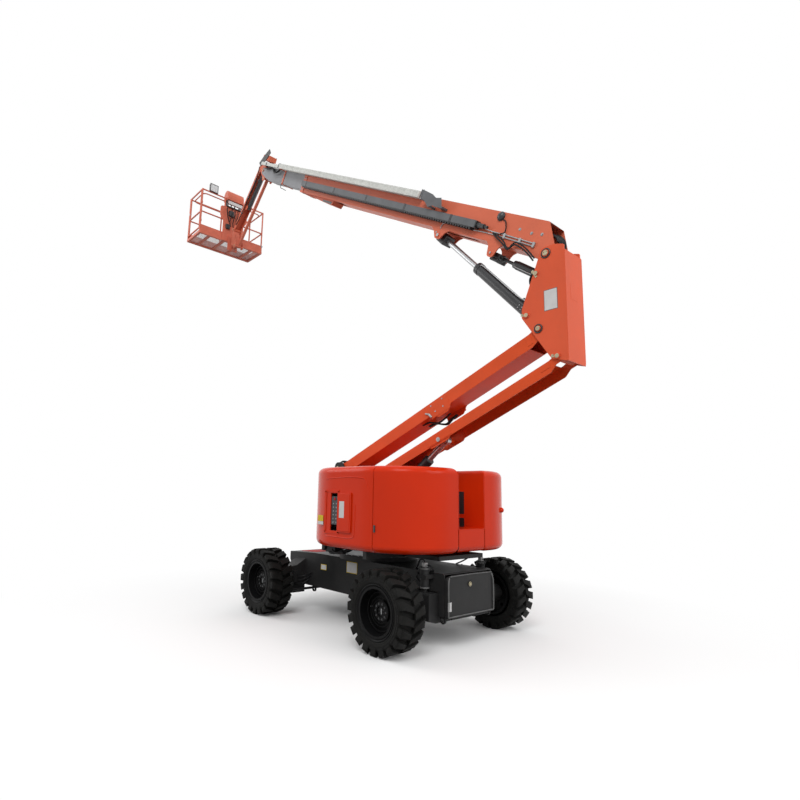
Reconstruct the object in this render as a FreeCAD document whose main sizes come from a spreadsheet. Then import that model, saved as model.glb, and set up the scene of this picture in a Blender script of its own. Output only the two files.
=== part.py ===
import FreeCAD, Part
import math
import os
import re
import types

import Sketcher

# Articulating boom lift, in millimetres.
# The origin is on the ground under the slew axis, +X is forward along the boom, +Y left, +Z up.
# Sizes that someone might change are in the table below, one row each: name, value.

SIZES = (
    # wheels and tyres
    ("wheel_base", 2520), ("wheel_track", 2110), ("tyre_diameter", 914), ("tyre_width", 356),
    ("bead_radius", 255), ("rim_flange_radius", 273), ("rim_width", 310), ("rim_wall", 9),
    ("tread_depth", 36), ("lug_count", 16), ("lug_width", 46), ("lug_sweep", 64),
    ("hub_radius", 112), ("hub_length", 104), ("motor_radius", 118), ("disc_wall", 14), ("disc_inset", 40),
    # chassis
    ("chassis_front", 1560), ("chassis_rear", 1600), ("chassis_width", 900),
    ("chassis_low", 365), ("chassis_top", 845), ("nose_top", 816), ("chassis_wall", 14),
    ("axle_beam_length", 480), ("axle_beam_width", 1200), ("axle_low", 290), ("axle_high", 620),
    ("axle_wall", 16), ("axle_pin_radius", 45), ("notch_gap", 12),
    ("lock_radius", 52), ("kingpin_radius", 34), ("kingpin_offset", 760),
    ("ear_below", 165), ("ear_above", 135), ("yoke_length", 240), ("ear_thickness", 35),
    ("tie_rod_radius", 18), ("tie_pin_radius", 11), ("steer_arm", 190),
    ("cover_thickness", 30), ("cover_low", 350),
    ("cover_hinge_radius", 10), ("lashing_eye", 22),
    # slew ring and turntable
    ("ring_radius", 520), ("ring_wall", 80), ("ring_height", 70), ("pedestal_height", 60),
    ("deck_front", 760), ("deck_rear", 1500), ("deck_width", 840), ("deck_thickness", 50),
    ("tower_gap", 332), ("tower_plate", 26), ("tray_thickness", 20),
    ("battery_length", 800), ("battery_width", 400), ("battery_height", 380),
    ("ballast_rear", 1535), ("ballast_front", 1104.5),
    # hoods
    ("hood_low", 1065), ("hood_high", 2066), ("hood_half_width", 1150), ("hood_rear", 1655),
    ("hood_front", 900), ("slot_half_width", 246), ("hood_wall", 8), ("tail_radius", 750),
    ("hood_edge_radius", 80), ("hood_lip", 20), ("hood_seam", 1100), ("seam_gap", 8), ("slot_floor", 1345),
    ("door_hinge_radius", 3), ("niche_rear", 482), ("niche_front", 244), ("niche_low", 1275),
    ("niche_high", 1735), ("niche_depth", 90), ("lid_hinge_radius", 6), ("lid_thickness", 12),
    # riser links
    ("link_length", 3750), ("link_angle", 22.8), ("upper_pivot_x", 735), ("upper_pivot_z", 2126),
    ("pivot_step_x", 214), ("pivot_step_z", 349), ("link_width", 320), ("link_wall", 8),
    ("upper_link_top", 22), ("upper_link_depth", 160), ("lower_link_top", 18), ("lower_link_depth", 130),
    ("link_pin_radius", 32), ("link_boss_radius", 54),
    ("riser_base_x", 100), ("riser_base_z", 1350), ("riser_slot_length", 480), ("riser_slot_width", 166),
    ("riser_eye_reach", 1900), ("riser_eye_drop", 75),
    ("riser_barrel_radius", 66), ("riser_rod_radius", 40), ("riser_barrel_length", 1370),
    # head that joins links and boom
    ("head_gap", 332), ("head_plate", 20), ("head_back", 3050), ("head_back_wall", 12),
    ("boom_pivot_x", -117), ("boom_pivot_z", 845), ("boom_pin_radius", 38),
    ("lift_base_x", 140), ("lift_base_z", 187), ("level_base_x", 7), ("level_base_z", 647),
    # boom
    ("boom_angle", 31.1), ("boom_length", 5880), ("boom_width", 310), ("boom_depth", 375),
    ("boom_bottom", -30), ("boom_tail", 60), ("boom_wall", 7), ("collar_wall", 8), ("collar_length", 110),
    ("pad_gap", 0.4), ("pad_length", 180),
    ("fly_reach", 7460), ("fly_length", 4600), ("fly_width", 250), ("fly_depth", 270), ("fly_bottom", 25),
    ("fly_wall", 7),
    ("lift_eye_x", 1795), ("lift_eye_z", -116), ("lift_barrel_radius", 72), ("lift_rod_radius", 36),
    ("lift_barrel_length", 1180), ("level_eye_x", 784), ("level_eye_z", -152),
    ("level_barrel_radius", 42), ("level_rod_radius", 20), ("level_barrel_length", 440),
    ("eye_width", 70), ("eye_radius", 56), ("foot_radius", 62), ("small_eye_radius", 30),
    ("small_pin_radius", 22), ("bracket_plate", 16), ("eye_slot", 100),
    ("bar_width", 84), ("bar_height", 90), ("bar_from", 1130), ("bar_to", 5760), ("bar_level", 120),
    ("bar_wall", 5),
    ("track_width", 92), ("track_height", 92), ("track_from", 2370), ("track_to", 6862),
    ("track_level", 327), ("track_gap", 17), ("band_place", 6740), ("band_width", 50), ("band_wall", 10),
    ("guide_from", 1800), ("guide_to", 2315),
    # levelled tip and jib
    ("tip_x", 8075), ("tip_z", 364), ("nose_pivot_x", -150), ("nose_pivot_z", -282), ("nose_radius", 60),
    ("jib_angle", -44.5), ("jib_length", 1630), ("jib_step_x", -117), ("jib_step_z", -436),
    ("jib_width", 160), ("jib_top", 46), ("jib_depth", 104), ("jib_wall", 8), ("jib_rod_width", 56),
    ("jib_rod_depth", 46), ("jib_pin_radius", 22), ("jib_boss_radius", 34),
    ("jib_eye_x", -17), ("jib_eye_z", -146), ("jib_foot_reach", 1024), ("jib_foot_drop", 100),
    ("jib_barrel_radius", 41), ("jib_rod_radius", 24), ("jib_barrel_length", 790), ("tip_plate", 12),
    # platform
    ("platform_length", 1620), ("platform_width", 680), ("platform_floor", 7597),
    ("platform_centre", 5630), ("rail_height", 1020), ("mid_rail_height", 475), ("rail_radius", 17),
    ("floor_depth", 60), ("floor_rim", 50), ("grating_thickness", 5), ("toe_height", 150), ("toe_wall", 5),
    ("toe_inset", 3), ("bar_radius", 16),
    ("turn_axis", 5140), ("housing_low", 7365), ("housing_high", 7635), ("housing_radius", 60),
    ("turn_shaft_radius", 30), ("turn_gap", 10), ("turn_plate", 30), ("panel_thickness", 24),
    ("console_width", 410), ("console_depth", 230), ("console_height", 330),
    # clearances
    ("running", 0.5), ("seat", 0.3), ("side_gap", 6),
)

doc = FreeCAD.newDocument("boom_lift")
sheet = doc.addObject("Spreadsheet::Sheet", "Sizes")
for row, (alias, value) in enumerate(SIZES, 1):
    sheet.set("A%d" % row, alias)
    sheet.set("B%d" % row, str(value))
    sheet.setAlias("B%d" % row, alias)
doc.recompute()
size = types.SimpleNamespace(**{alias: float(sheet.get(alias)) for alias, value in SIZES})

V = FreeCAD.Vector
TURN = {"X": V(1, 0, 0), "Y": V(0, 1, 0), "Z": V(0, 0, 1)}
nodes = []


def cell(text):
    """Turn names of sizes in a formula into references to the sheet."""
    return re.sub(r"[a-z][a-z_]+", lambda match: "Sizes." + match.group(0), str(text))


def place(x=0, y=0, z=0, axis="Y", angle=0):
    return FreeCAD.Placement(V(x, y, z), FreeCAD.Rotation(TURN[axis], angle))


def outline_edges(corners):
    """Lines and arcs of a closed outline. A corner is (x, y) or (x, y, radius)."""
    count = len(corners)
    points = [V(corner[0], corner[1], 0) for corner in corners]
    enter, leave, arcs = [], [], []
    for index, corner in enumerate(corners):
        point = points[index]
        radius = corner[2] if len(corner) > 2 else 0
        if radius <= 0:
            enter.append(point)
            leave.append(point)
            arcs.append(None)
            continue
        before = (points[index - 1] - point).normalize()
        after = (points[(index + 1) % count] - point).normalize()
        half = before.getAngle(after) / 2
        reach = radius / math.tan(half)
        middle = (before + after).normalize()
        enter.append(point + before * reach)
        leave.append(point + after * reach)
        arcs.append(Part.Arc(enter[-1], point + middle * (radius / math.sin(half) - radius), leave[-1]))
    edges = []
    for index in range(count):
        following = (index + 1) % count
        if arcs[index]:
            edges.append(arcs[index])
        if (enter[following] - leave[index]).Length > 0.001:
            edges.append(Part.LineSegment(leave[index], enter[following]))
    return edges


def inset(corners, distance):
    """The same outline, drawn anticlockwise, moved inwards with its radii reduced."""
    count = len(corners)
    moved = []
    for index, corner in enumerate(corners):
        here = V(corner[0], corner[1], 0)
        before = here - V(corners[index - 1][0], corners[index - 1][1], 0)
        after = V(corners[(index + 1) % count][0], corners[(index + 1) % count][1], 0) - here
        before.normalize()
        after.normalize()
        normal = V(-before.y, before.x, 0) + V(-after.y, after.x, 0)
        normal.normalize()
        reach = distance / normal.dot(V(-after.y, after.x, 0))
        point = here + normal * reach
        radius = corner[2] - distance if len(corner) > 2 else 0
        moved.append((point.x, point.y, max(radius, 0)))
    return moved


def body_sketch(name, plane, corners, holes=()):
    """A body with one sketch on an origin plane. A hole is (x, y, radius formula)."""
    body = doc.addObject("PartDesign::Body", name)
    sketch = body.newObject("Sketcher::SketchObject", name + "_sketch")
    support = [item for item in body.Origin.OriginFeatures if item.Role == plane + "_Plane"][0]
    sketch.AttachmentSupport = [(support, "")]
    sketch.MapMode = "FlatFace"
    for edge in outline_edges(corners):
        sketch.addGeometry(edge, False)
    for x, y, radius in holes:
        circle = sketch.addGeometry(Part.Circle(V(x, y, 0), V(0, 0, 1), 5.0), False)
        limit = sketch.addConstraint(Sketcher.Constraint("Radius", circle, 5.0))
        sketch.setExpression("Constraints[%d]" % limit, cell(radius))
    return body, sketch


def plate(name, plane, corners, depth, at=None, holes=()):
    """An outline padded evenly to both sides of its plane."""
    body, sketch = body_sketch(name, plane, corners, holes)
    pad = body.newObject("PartDesign::Pad", name + "_pad")
    pad.Profile = sketch
    pad.SideType = "Symmetric"
    pad.setExpression("Length", cell(depth))
    body.Placement = at or place()
    return body


def turned(name, corners, at=None):
    """An outline in radius and width, turned about the Y axis."""
    body, sketch = body_sketch(name, "XY", corners)
    revolution = body.newObject("PartDesign::Revolution", name + "_turn")
    revolution.Profile = sketch
    revolution.ReferenceAxis = (sketch, ["V_Axis"])
    revolution.Angle = 360
    body.Placement = at or place()
    return body


def box(name, length, width, height, at):
    item = doc.addObject("Part::Box", name)
    for prop, formula in (("Length", length), ("Width", width), ("Height", height)):
        item.setExpression(prop, cell(formula))
    item.Placement = at
    return item


def rod(name, radius, length, start, axis=(0, 0, 1), roll=0):
    """A cylinder from start along axis. roll turns it about its own axis, which moves its seam."""
    item = doc.addObject("Part::Cylinder", name)
    item.setExpression("Radius", cell(radius))
    item.setExpression("Height", cell(length))
    item.Placement = FreeCAD.Placement(V(*start), FreeCAD.Rotation(V(0, 0, 1), V(*axis)).multiply(
        FreeCAD.Rotation(V(0, 0, 1), roll)))
    return item


def cross_pin(name, radius, length, x, z, y=0.0, half=None):
    """A cylinder along Y, centred on y. half is half its length as a number."""
    return rod(name, radius, length, (x, y - half, z), (0, 1, 0))


def fuse(name, parts, at=None):
    item = doc.addObject("Part::MultiFuse", name)
    item.Shapes = parts
    item.Placement = at or place()
    return item


def cut(name, base, tools, at=None):
    item = doc.addObject("Part::Cut", name)
    item.Base = base
    item.Tool = tools[0] if len(tools) == 1 else fuse(name + "_tools", tools)
    item.Placement = at or place()
    return item


def common(name, base, tool):
    item = doc.addObject("Part::Common", name)
    item.Base = base
    item.Tool = tool
    return item


def group(name, parts, at=None):
    """Solids that don't touch, kept as one node."""
    item = doc.addObject("Part::Compound", name)
    item.Links = parts
    item.Placement = at or place()
    return item


def node(item):
    nodes.append(item)
    return item


def polar(radius, angle):
    return radius * math.cos(math.radians(angle)), radius * math.sin(math.radians(angle))


def frame_point(origin, angle, x, z):
    """Place of a point given in a member's own frame, raised by angle in the XZ plane."""
    c, s = math.cos(math.radians(angle)), math.sin(math.radians(angle))
    return origin[0] + x * c - z * s, origin[1] + x * s + z * c


# Wheels: one tyre and one rim are drawn about the Y axis and set at the four corners.
wheel_radius = size.tyre_diameter / 2
half_tyre = size.tyre_width / 2
half_rim = size.rim_width / 2
carcass_radius = wheel_radius - size.tread_depth
bead_clear = size.bead_radius + 0.3
bead_edge = half_rim - 11.3
wheel_x = size.wheel_base / 2
wheel_y = size.wheel_track / 2

carcass = turned("carcass", [
    (bead_clear, -bead_edge), (bead_clear + 24, -bead_edge), (bead_clear + 60, -half_tyre + 6, 20),
    (carcass_radius - 18, -half_tyre + 10, 22), (carcass_radius, -half_tyre + 46),
    (carcass_radius, half_tyre - 46), (carcass_radius - 18, half_tyre - 10, 22),
    (bead_clear + 60, half_tyre - 6, 20), (bead_clear + 24, bead_edge), (bead_clear, bead_edge)],
    place(angle=0.32 * 360 / size.lug_count))
envelope = turned("tread_envelope", [
    (carcass_radius - 60, -half_tyre), (wheel_radius - 20, -half_tyre), (wheel_radius, -half_tyre + 60),
    (wheel_radius, half_tyre - 60), (wheel_radius - 20, half_tyre), (carcass_radius - 60, half_tyre)])
lug_foot = size.lug_width / 2
lug_corners = [
    (-lug_foot, -9), (lug_foot, -9), (lug_foot + size.lug_sweep, half_tyre + 4),
    (-lug_foot * 0.8 + size.lug_sweep, half_tyre + 4)]
lug_bars = []
for side, first in ((1, 0.0), (-1, 0.5)):
    for index in range(int(size.lug_count)):
        name = "lug_%s_%d" % ("left" if side > 0 else "right", index)
        bar = plate(name, "XY", [(x, y * side) for x, y in lug_corners[::side]], "tread_depth + 60")
        turn = FreeCAD.Rotation(V(0, 1, 0), 360 * (index + first) / size.lug_count)
        lift = turn.multVec(V(0, 0, wheel_radius - size.tread_depth / 2))
        bar.Placement = FreeCAD.Placement(lift, turn)
        lug_bars.append(bar)
lugs = common("lugs", group("lug_ring", lug_bars), envelope)
tyre_master = fuse("tyre_master", [carcass, lugs])
tyre_master.Refine = False

disc_y = -size.disc_inset
rim_outer = size.bead_radius
rim_inner = rim_outer - size.rim_wall
rim_shell = turned("rim_shell", [
    (rim_inner, -half_rim), (size.rim_flange_radius, -half_rim), (size.rim_flange_radius, -half_rim + 11),
    (rim_outer, -half_rim + 11), (rim_outer, half_rim - 11), (size.rim_flange_radius, half_rim - 11),
    (size.rim_flange_radius, half_rim), (rim_inner, half_rim),
    (rim_inner - 8, disc_y + size.disc_wall), (size.hub_radius, disc_y + size.disc_wall + 8),
    (size.hub_radius, disc_y + size.hub_length, 14), (60, disc_y + size.hub_length + 6),
    (60, disc_y + size.hub_length - 8), (0, disc_y + size.hub_length - 8), (0, disc_y),
    (rim_inner - 8, disc_y)])
hand_holes = []
for index in range(5):
    x, z = polar((size.hub_radius + rim_inner) / 2, 72 * index + 18)
    hand_holes.append(rod("hand_hole_%d" % index, "disc_wall * 1.6", 60, (x, disc_y - 20, z), (0, 1, 0)))
rim_master = cut("rim_master", rim_shell, hand_holes)

CORNERS = (("fl", 1, 1), ("fr", 1, -1), ("rl", -1, 1), ("rr", -1, -1))
for tag, end, side in CORNERS:
    at = FreeCAD.Placement(V(end * wheel_x, side * wheel_y, wheel_radius),
                           FreeCAD.Rotation(V(0, 0, 1), 0 if side > 0 else 180))
    node(group("tyre_" + tag, [tyre_master], at))
    node(group("rim_" + tag, [rim_master], at))

# Chassis: a hollow welded box with a bay at the back, a notch for the axle and the ring's pedestal.
half_chassis = size.chassis_width / 2
wall = size.chassis_wall
axle_x = -wheel_x
notch_front = axle_x + size.axle_beam_length / 2 + size.notch_gap
notch_rear = axle_x - size.axle_beam_length / 2 - size.notch_gap
notch_top = size.axle_high + size.notch_gap
axle_pin_z = size.axle_high - size.axle_pin_radius - 25
pin_reach = 50
hull = plate("hull", "XZ", [
    (-size.chassis_rear, size.chassis_low, 30), (wheel_x - 60, size.chassis_low, 60),
    (wheel_x + 150, size.chassis_low + 110, 60), (size.chassis_front, size.nose_top - 120, 20),
    (size.chassis_front, size.nose_top, 15), (size.chassis_front - 640, size.chassis_top, 40),
    (-size.chassis_rear, size.chassis_top, 30)], "chassis_width")
cavity = plate("hull_cavity", "XZ", [
    (-size.chassis_rear - 20, notch_top + wall), (notch_front + wall, notch_top + wall),
    (notch_front + wall, size.chassis_low + wall), (wheel_x - 80, size.chassis_low + wall),
    (wheel_x + 120, size.chassis_low + 130 + wall), (size.chassis_front - wall, size.nose_top - 100),
    (size.chassis_front - wall, size.nose_top - wall), (size.chassis_front - 640, size.chassis_top - wall),
    (-size.chassis_rear - 20, size.chassis_top - wall)], "chassis_width - 2 * chassis_wall")
notch = box("axle_notch", "axle_beam_length + 2 * notch_gap", "chassis_width + 20", "axle_high + notch_gap - 100",
            place(notch_rear, -half_chassis - 10, 100))
pin_bore = rod("axle_pin_bore", "axle_pin_radius + running", "axle_beam_length + 2 * notch_gap + 104",
               (notch_rear - pin_reach - 2, 0, axle_pin_z), (1, 0, 0))
pedestal = rod("pedestal", "ring_radius + 30", "pedestal_height + 8", (0, 0, size.chassis_top - 8))
lashing = []
lashing_y = half_chassis - 30
for tag, x in (("front", wheel_x - 330), ("rear", -size.chassis_rear + 44)):
    for side in (1, -1):
        lashing.append(plate("lashing_%s_%d" % (tag, side), "XZ", [
            (-42, 20), (-42, -80, 40), (42, -80, 40), (42, 20)],
            "chassis_wall + 6", place(x, side * lashing_y, size.chassis_low), [(0, -38, "lashing_eye")]))
cover_x = -size.chassis_rear - 6 - size.cover_thickness / 2
hinge_z = size.cover_low - size.cover_hinge_radius - 0.4
hinge_lugs = [plate("cover_lug_%d" % side, "XZ", [
    (cover_x, hinge_z - 7), (-size.chassis_rear + 30, hinge_z - 7),
    (-size.chassis_rear + 30, size.chassis_low + 40), (-size.chassis_rear, size.chassis_low + 40),
    (-size.chassis_rear, hinge_z + 5), (cover_x, hinge_z + 5)],
    40, place(0, side * 300, 0)) for side in (1, -1)]
hinge_rod = cross_pin("cover_hinge_rod", "cover_hinge_radius", 700, cover_x, hinge_z, 0, 350)
chassis = cut("hull_open", fuse("hull_solid", [hull, pedestal]), [cavity, notch, pin_bore])
node(fuse("chassis_frame", [chassis] + lashing + hinge_lugs + [hinge_rod]))

ring_z = size.chassis_top + size.pedestal_height
ring_disc = rod("ring_disc", "ring_radius", "ring_height", (0, 0, ring_z))
ring_hole = rod("ring_hole", "ring_radius - ring_wall", "ring_height + 2", (0, 0, ring_z - 1))
node(cut("slew_bearing", ring_disc, [ring_hole]))

# Rear axle: a hollow beam that rocks on a pin along X, with drive motors at both ends.
half_axle = size.axle_beam_width / 2
beam = plate("axle_beam", "YZ", [
    (-half_axle, size.axle_low + 30, 20), (-half_axle + 120, size.axle_low, 20),
    (half_axle - 120, size.axle_low, 20), (half_axle, size.axle_low + 30, 20),
    (half_axle, size.axle_high, 20), (-half_axle, size.axle_high, 20)], "axle_beam_length", place(axle_x))
beam_room = box("axle_room", "axle_beam_length - 2 * axle_wall", "axle_beam_width - 160",
                "axle_high - axle_low - 30 - 2 * axle_wall", place(
                    axle_x - size.axle_beam_length / 2 + size.axle_wall, -half_axle + 80,
                    size.axle_low + 30 + size.axle_wall))
axle_pin = rod("axle_pin", "axle_pin_radius", "axle_beam_length + 2 * notch_gap + 100",
               (notch_rear - pin_reach, 0, axle_pin_z), (1, 0, 0))
motor_length = "wheel_track / 2 - disc_inset - seat - axle_beam_width / 2 + 40"
motors = [rod("rear_motor_%d" % side, "motor_radius", motor_length,
              (axle_x, side * (half_axle - 40), wheel_radius), (0, side, 0)) for side in (1, -1)]
node(fuse("rear_axle", [cut("axle_shell", beam, [beam_room]), axle_pin] + motors))

locks = []
lock_y = half_chassis + 90
for side in (1, -1):
    x = axle_x - 120
    barrel = rod("lock_barrel_%d" % side, "lock_radius", 240, (x, side * lock_y, size.axle_high + 50))
    foot = rod("lock_foot_%d" % side, "lock_radius * 0.55", 60, (x, side * lock_y, size.axle_high + size.seat))
    bracket = box("lock_bracket_%d" % side, 130, "90 + lock_radius", 40,
                  place(x - 65, half_chassis if side > 0 else -lock_y - size.lock_radius, size.axle_high + 160))
    locks.append(fuse("lock_%d" % side, [barrel, foot, bracket]))
node(group("axle_lock_cylinders", locks))

# Front axle: a fixed yoke on each side, whose ears hold the kingpin.
ear_low = wheel_radius - size.ear_below
ear_high = wheel_radius + size.ear_above
yoke_reach = size.kingpin_offset + 75
yokes = []
for side in (1, -1):
    corners = [(half_chassis, ear_low - size.ear_thickness), (yoke_reach, ear_low - size.ear_thickness, 12),
               (yoke_reach, ear_low, 5), (half_chassis + 190, ear_low, 40), (half_chassis + 190, ear_high, 40),
               (yoke_reach, ear_high, 5), (yoke_reach, ear_high + size.ear_thickness, 12),
               (half_chassis + 160, ear_high + 60, 30), (half_chassis, ear_high + 150)]
    yoke = plate("yoke_body_%d" % side, "YZ", [(corner[0] * side,) + tuple(corner[1:]) for corner in corners],
                 "yoke_length", place(wheel_x))
    bore = rod("kingpin_bore_%d" % side, "kingpin_radius + running", 500,
               (wheel_x, side * size.kingpin_offset, ear_low - 80))
    yokes.append(cut("yoke_%d" % side, yoke, [bore]))
node(group("front_axle", yokes))

# Steering knuckles: block, kingpin, arm and drive motor.
arm_z = ear_low + 60
for tag, side in (("left", 1), ("right", -1)):
    block = box("knuckle_block_" + tag, 170, 100, "ear_below + ear_above - 2 * side_gap", place(
        wheel_x - 85, side * size.kingpin_offset - 50, ear_low + size.side_gap))
    pin = rod("kingpin_" + tag, "kingpin_radius", "ear_below + ear_above + 2 * ear_thickness - 2",
              (wheel_x, side * size.kingpin_offset, ear_low - size.ear_thickness + 1))
    motor = rod("front_motor_" + tag, "motor_radius", "wheel_track / 2 - disc_inset - seat - kingpin_offset - 20",
                (wheel_x, side * (size.kingpin_offset + 20), wheel_radius), (0, side, 0))
    arm = plate("steer_arm_" + tag, "XY", [
        (-size.steer_arm - 24, -24, 22), (60, -45), (60, 45), (-size.steer_arm - 24, 24, 22)], 26,
        place(wheel_x, side * size.kingpin_offset, arm_z))
    ball = rod("steer_pin_" + tag, "tie_pin_radius", 54,
               (wheel_x - size.steer_arm, side * size.kingpin_offset, arm_z - 40))
    node(fuse("steer_knuckle_" + tag, [block, pin, motor, arm, ball]))

# The rod only slides sideways, so each of its ends has a slot along X in which the arm's pin moves.
tie_x = wheel_x - size.steer_arm
slot_half = size.tie_pin_radius + 10
slot_front = size.steer_arm * (1 - math.cos(math.radians(35))) + size.tie_pin_radius + 6
tie_half = size.kingpin_offset - slot_half - 8
tie_parts = [cross_pin("tie_tube", "tie_rod_radius", 2 * tie_half, tie_x, arm_z - 37, 0, tie_half)]
for side in (1, -1):
    tie_parts.append(plate("tie_end_%d" % side, "XY", [
        (-36, -slot_half - 12, 20), (slot_front + 10, -slot_half - 12, 12),
        (slot_front + 10, slot_half + 12, 12), (-36, slot_half + 12, 20)], 14,
        place(tie_x, side * size.kingpin_offset, arm_z - 20.4)))
tie_slots = [plate("tie_slot_%d" % side, "XY", [
    (-size.tie_pin_radius - 5, -slot_half, 10), (slot_front, -slot_half, 10), (slot_front, slot_half, 10),
    (-size.tie_pin_radius - 5, slot_half, 10)], 60, place(tie_x, side * size.kingpin_offset, arm_z - 26))
    for side in (1, -1)]
node(cut("steering_rod", fuse("tie_solid", tie_parts), tie_slots))

# Rear cover: a bent panel with a round latch, hinged along its lower edge.
cover = plate("cover_panel", "YZ", [
    (-half_chassis + 6, size.cover_low, 12), (half_chassis - 6, size.cover_low, 12), (half_chassis - 6, 800, 30),
    (half_chassis - 120, size.chassis_top - 22, 60), (-half_chassis + 120, size.chassis_top - 22, 60),
    (-half_chassis + 6, 800, 30)], "cover_thickness", place(cover_x))
latch = rod("cover_latch", 26, 14, (cover_x - size.cover_thickness / 2 + 2, 0, 715), (-1, 0, 0))
node(fuse("rear_cover", [cover, latch]))

# Turntable: deck with arms under the hoods, tower plates, the links' lower pins, battery tray.
deck_z = ring_z + size.ring_height + size.seat
deck_top = deck_z + size.deck_thickness
half_deck = size.deck_width / 2
upper_low = (size.upper_pivot_x, size.upper_pivot_z)
lower_low = (size.upper_pivot_x - size.pivot_step_x, size.upper_pivot_z - size.pivot_step_z)
half_tower = size.tower_gap / 2
deck = box("deck_plate", "deck_rear + deck_front", "deck_width", "deck_thickness",
           place(-size.deck_rear, -half_deck, deck_z))
deck_hole = rod("deck_hole", "ring_radius - ring_wall - 60", "deck_thickness + 2", (0, 0, deck_z - 1))
frame_parts = [cut("deck", deck, [deck_hole])]
lip_edge = size.hood_half_width - size.hood_edge_radius
for tag, x, reach in (("rear", -940, lip_edge), ("mid", 100, lip_edge - 180)):
    for side in (1, -1):
        low_y = half_deck - 20 if side > 0 else -reach
        frame_parts.append(box("hood_arm_%s_%d" % (tag, side), 60, str(reach - half_deck + 20),
                               "hood_low - %.2f" % (deck_z + size.seat), place(x, low_y, deck_z)))
frame_parts.append(box("hood_nose_beam", "hood_front - hood_edge_radius - 620", 760,
                       "hood_low - %.2f" % (deck_z + size.seat), place(620, -380, deck_z)))
frame_parts.append(box("battery_tray", "battery_length + 60", "battery_width + 60", "tray_thickness", place(
    -740, -half_deck - size.battery_width - 20, deck_top - size.tray_thickness)))
for side in (1, -1):
    frame_parts.append(plate("tower_%d" % side, "XZ", [
        (-350, deck_top - 5), (upper_low[0] + 15, deck_top - 5), (upper_low[0] + 95, deck_top + 300, 120),
        (upper_low[0] + 85, upper_low[1] + 85, 75), (upper_low[0] - 85, upper_low[1] + 85, 75),
        (lower_low[0] - 110, lower_low[1] + 40, 160), (lower_low[0] - 250, deck_top + 420, 200),
        (-350, deck_top + 330, 60)],
        "tower_plate", place(0, side * (half_tower + size.tower_plate / 2), 0)))
for index, (x, z) in enumerate((upper_low, lower_low, (size.riser_base_x, size.riser_base_z))):
    frame_parts.append(cross_pin("tower_pin_%d" % index, "link_pin_radius", "tower_gap + 3 * tower_plate",
                                 x, z, 0, half_tower + 1.5 * size.tower_plate))
node(fuse("turntable_frame", frame_parts))

floor_low = size.slot_floor - size.hood_wall
ballast_top = floor_low - size.seat
ballast_low = deck_top + size.seat
block = plate("ballast_block", "XY", [
    (-size.ballast_rear, -560, 300), (-size.ballast_front - 60, -880, 100), (-size.ballast_front, -880),
    (-size.ballast_front, 880), (-size.ballast_front - 60, 880, 100), (-size.ballast_rear, 560, 300)],
    "%.2f" % (ballast_top - ballast_low), place(0, 0, (ballast_low + ballast_top) / 2))
tongue = box("ballast_tongue", 160, "2 * slot_half_width - 24", "%.2f" % (ballast_top - ballast_low), place(
    -size.hood_rear + 3, -size.slot_half_width + 12, ballast_low))
ear_height = 308
ears = []
for side in (1, -1):
    ears.append(plate("ballast_ear_%d" % side, "XY", [
        (x, y * side, r) for x, y, r in ((-size.ballast_rear + 10, 290, 30), (-size.ballast_front - 40, 290, 20),
                                         (-size.ballast_front - 40, 800, 20), (-1300, 800, 160),
                                         (-size.ballast_rear + 10, 520, 160))],
        ear_height, place(0, 0, ballast_top - 20 + ear_height / 2)))
node(fuse("counterweight", [block, tongue] + ears))
node(box("battery_pack", "battery_length", "battery_width", "battery_height", place(
    -710, -half_deck - size.battery_width + 10, deck_top + size.seat)))


def hood_plan(side):
    """Half of the hood seen from above, anticlockwise, from the slot outwards."""
    nose_flat = 0.49 * size.hood_front
    points = [
        (-size.hood_rear, size.slot_half_width, 20), (size.hood_front, size.slot_half_width, 20),
        (size.hood_front, nose_flat, 150),
        (size.hood_front - (size.hood_half_width - nose_flat) / math.tan(math.radians(36.5)),
         size.hood_half_width, 900),
        (-size.hood_rear, size.hood_half_width, size.tail_radius)]
    if side < 0:
        points = [(x, -y, r) for x, y, r in reversed(points)]
    return points


def hood_solid(name, side, gap, low, high, radius):
    """The hood's outline drawn inwards by gap, with its top and bottom edges rounded."""
    body = plate(name, "XY", inset(hood_plan(side), gap), high - low, place(0, 0, (low + high) / 2))
    if radius <= 0:
        return body
    doc.recompute()
    pad = body.Tip
    names = []
    for index, edge in enumerate(pad.Shape.Edges, 1):
        bounds = edge.BoundBox
        level = bounds.ZMax - bounds.ZMin < 0.01
        outer = abs(edge.CenterOfMass.y) > size.slot_half_width + 30 or abs(bounds.YMax - bounds.YMin) > 30
        if level and outer:
            names.append("Edge%d" % index)
    fillet = body.newObject("PartDesign::Fillet", name + "_round")
    fillet.Base = (pad, names)
    fillet.Radius = radius
    body.Tip = fillet
    return body


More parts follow.
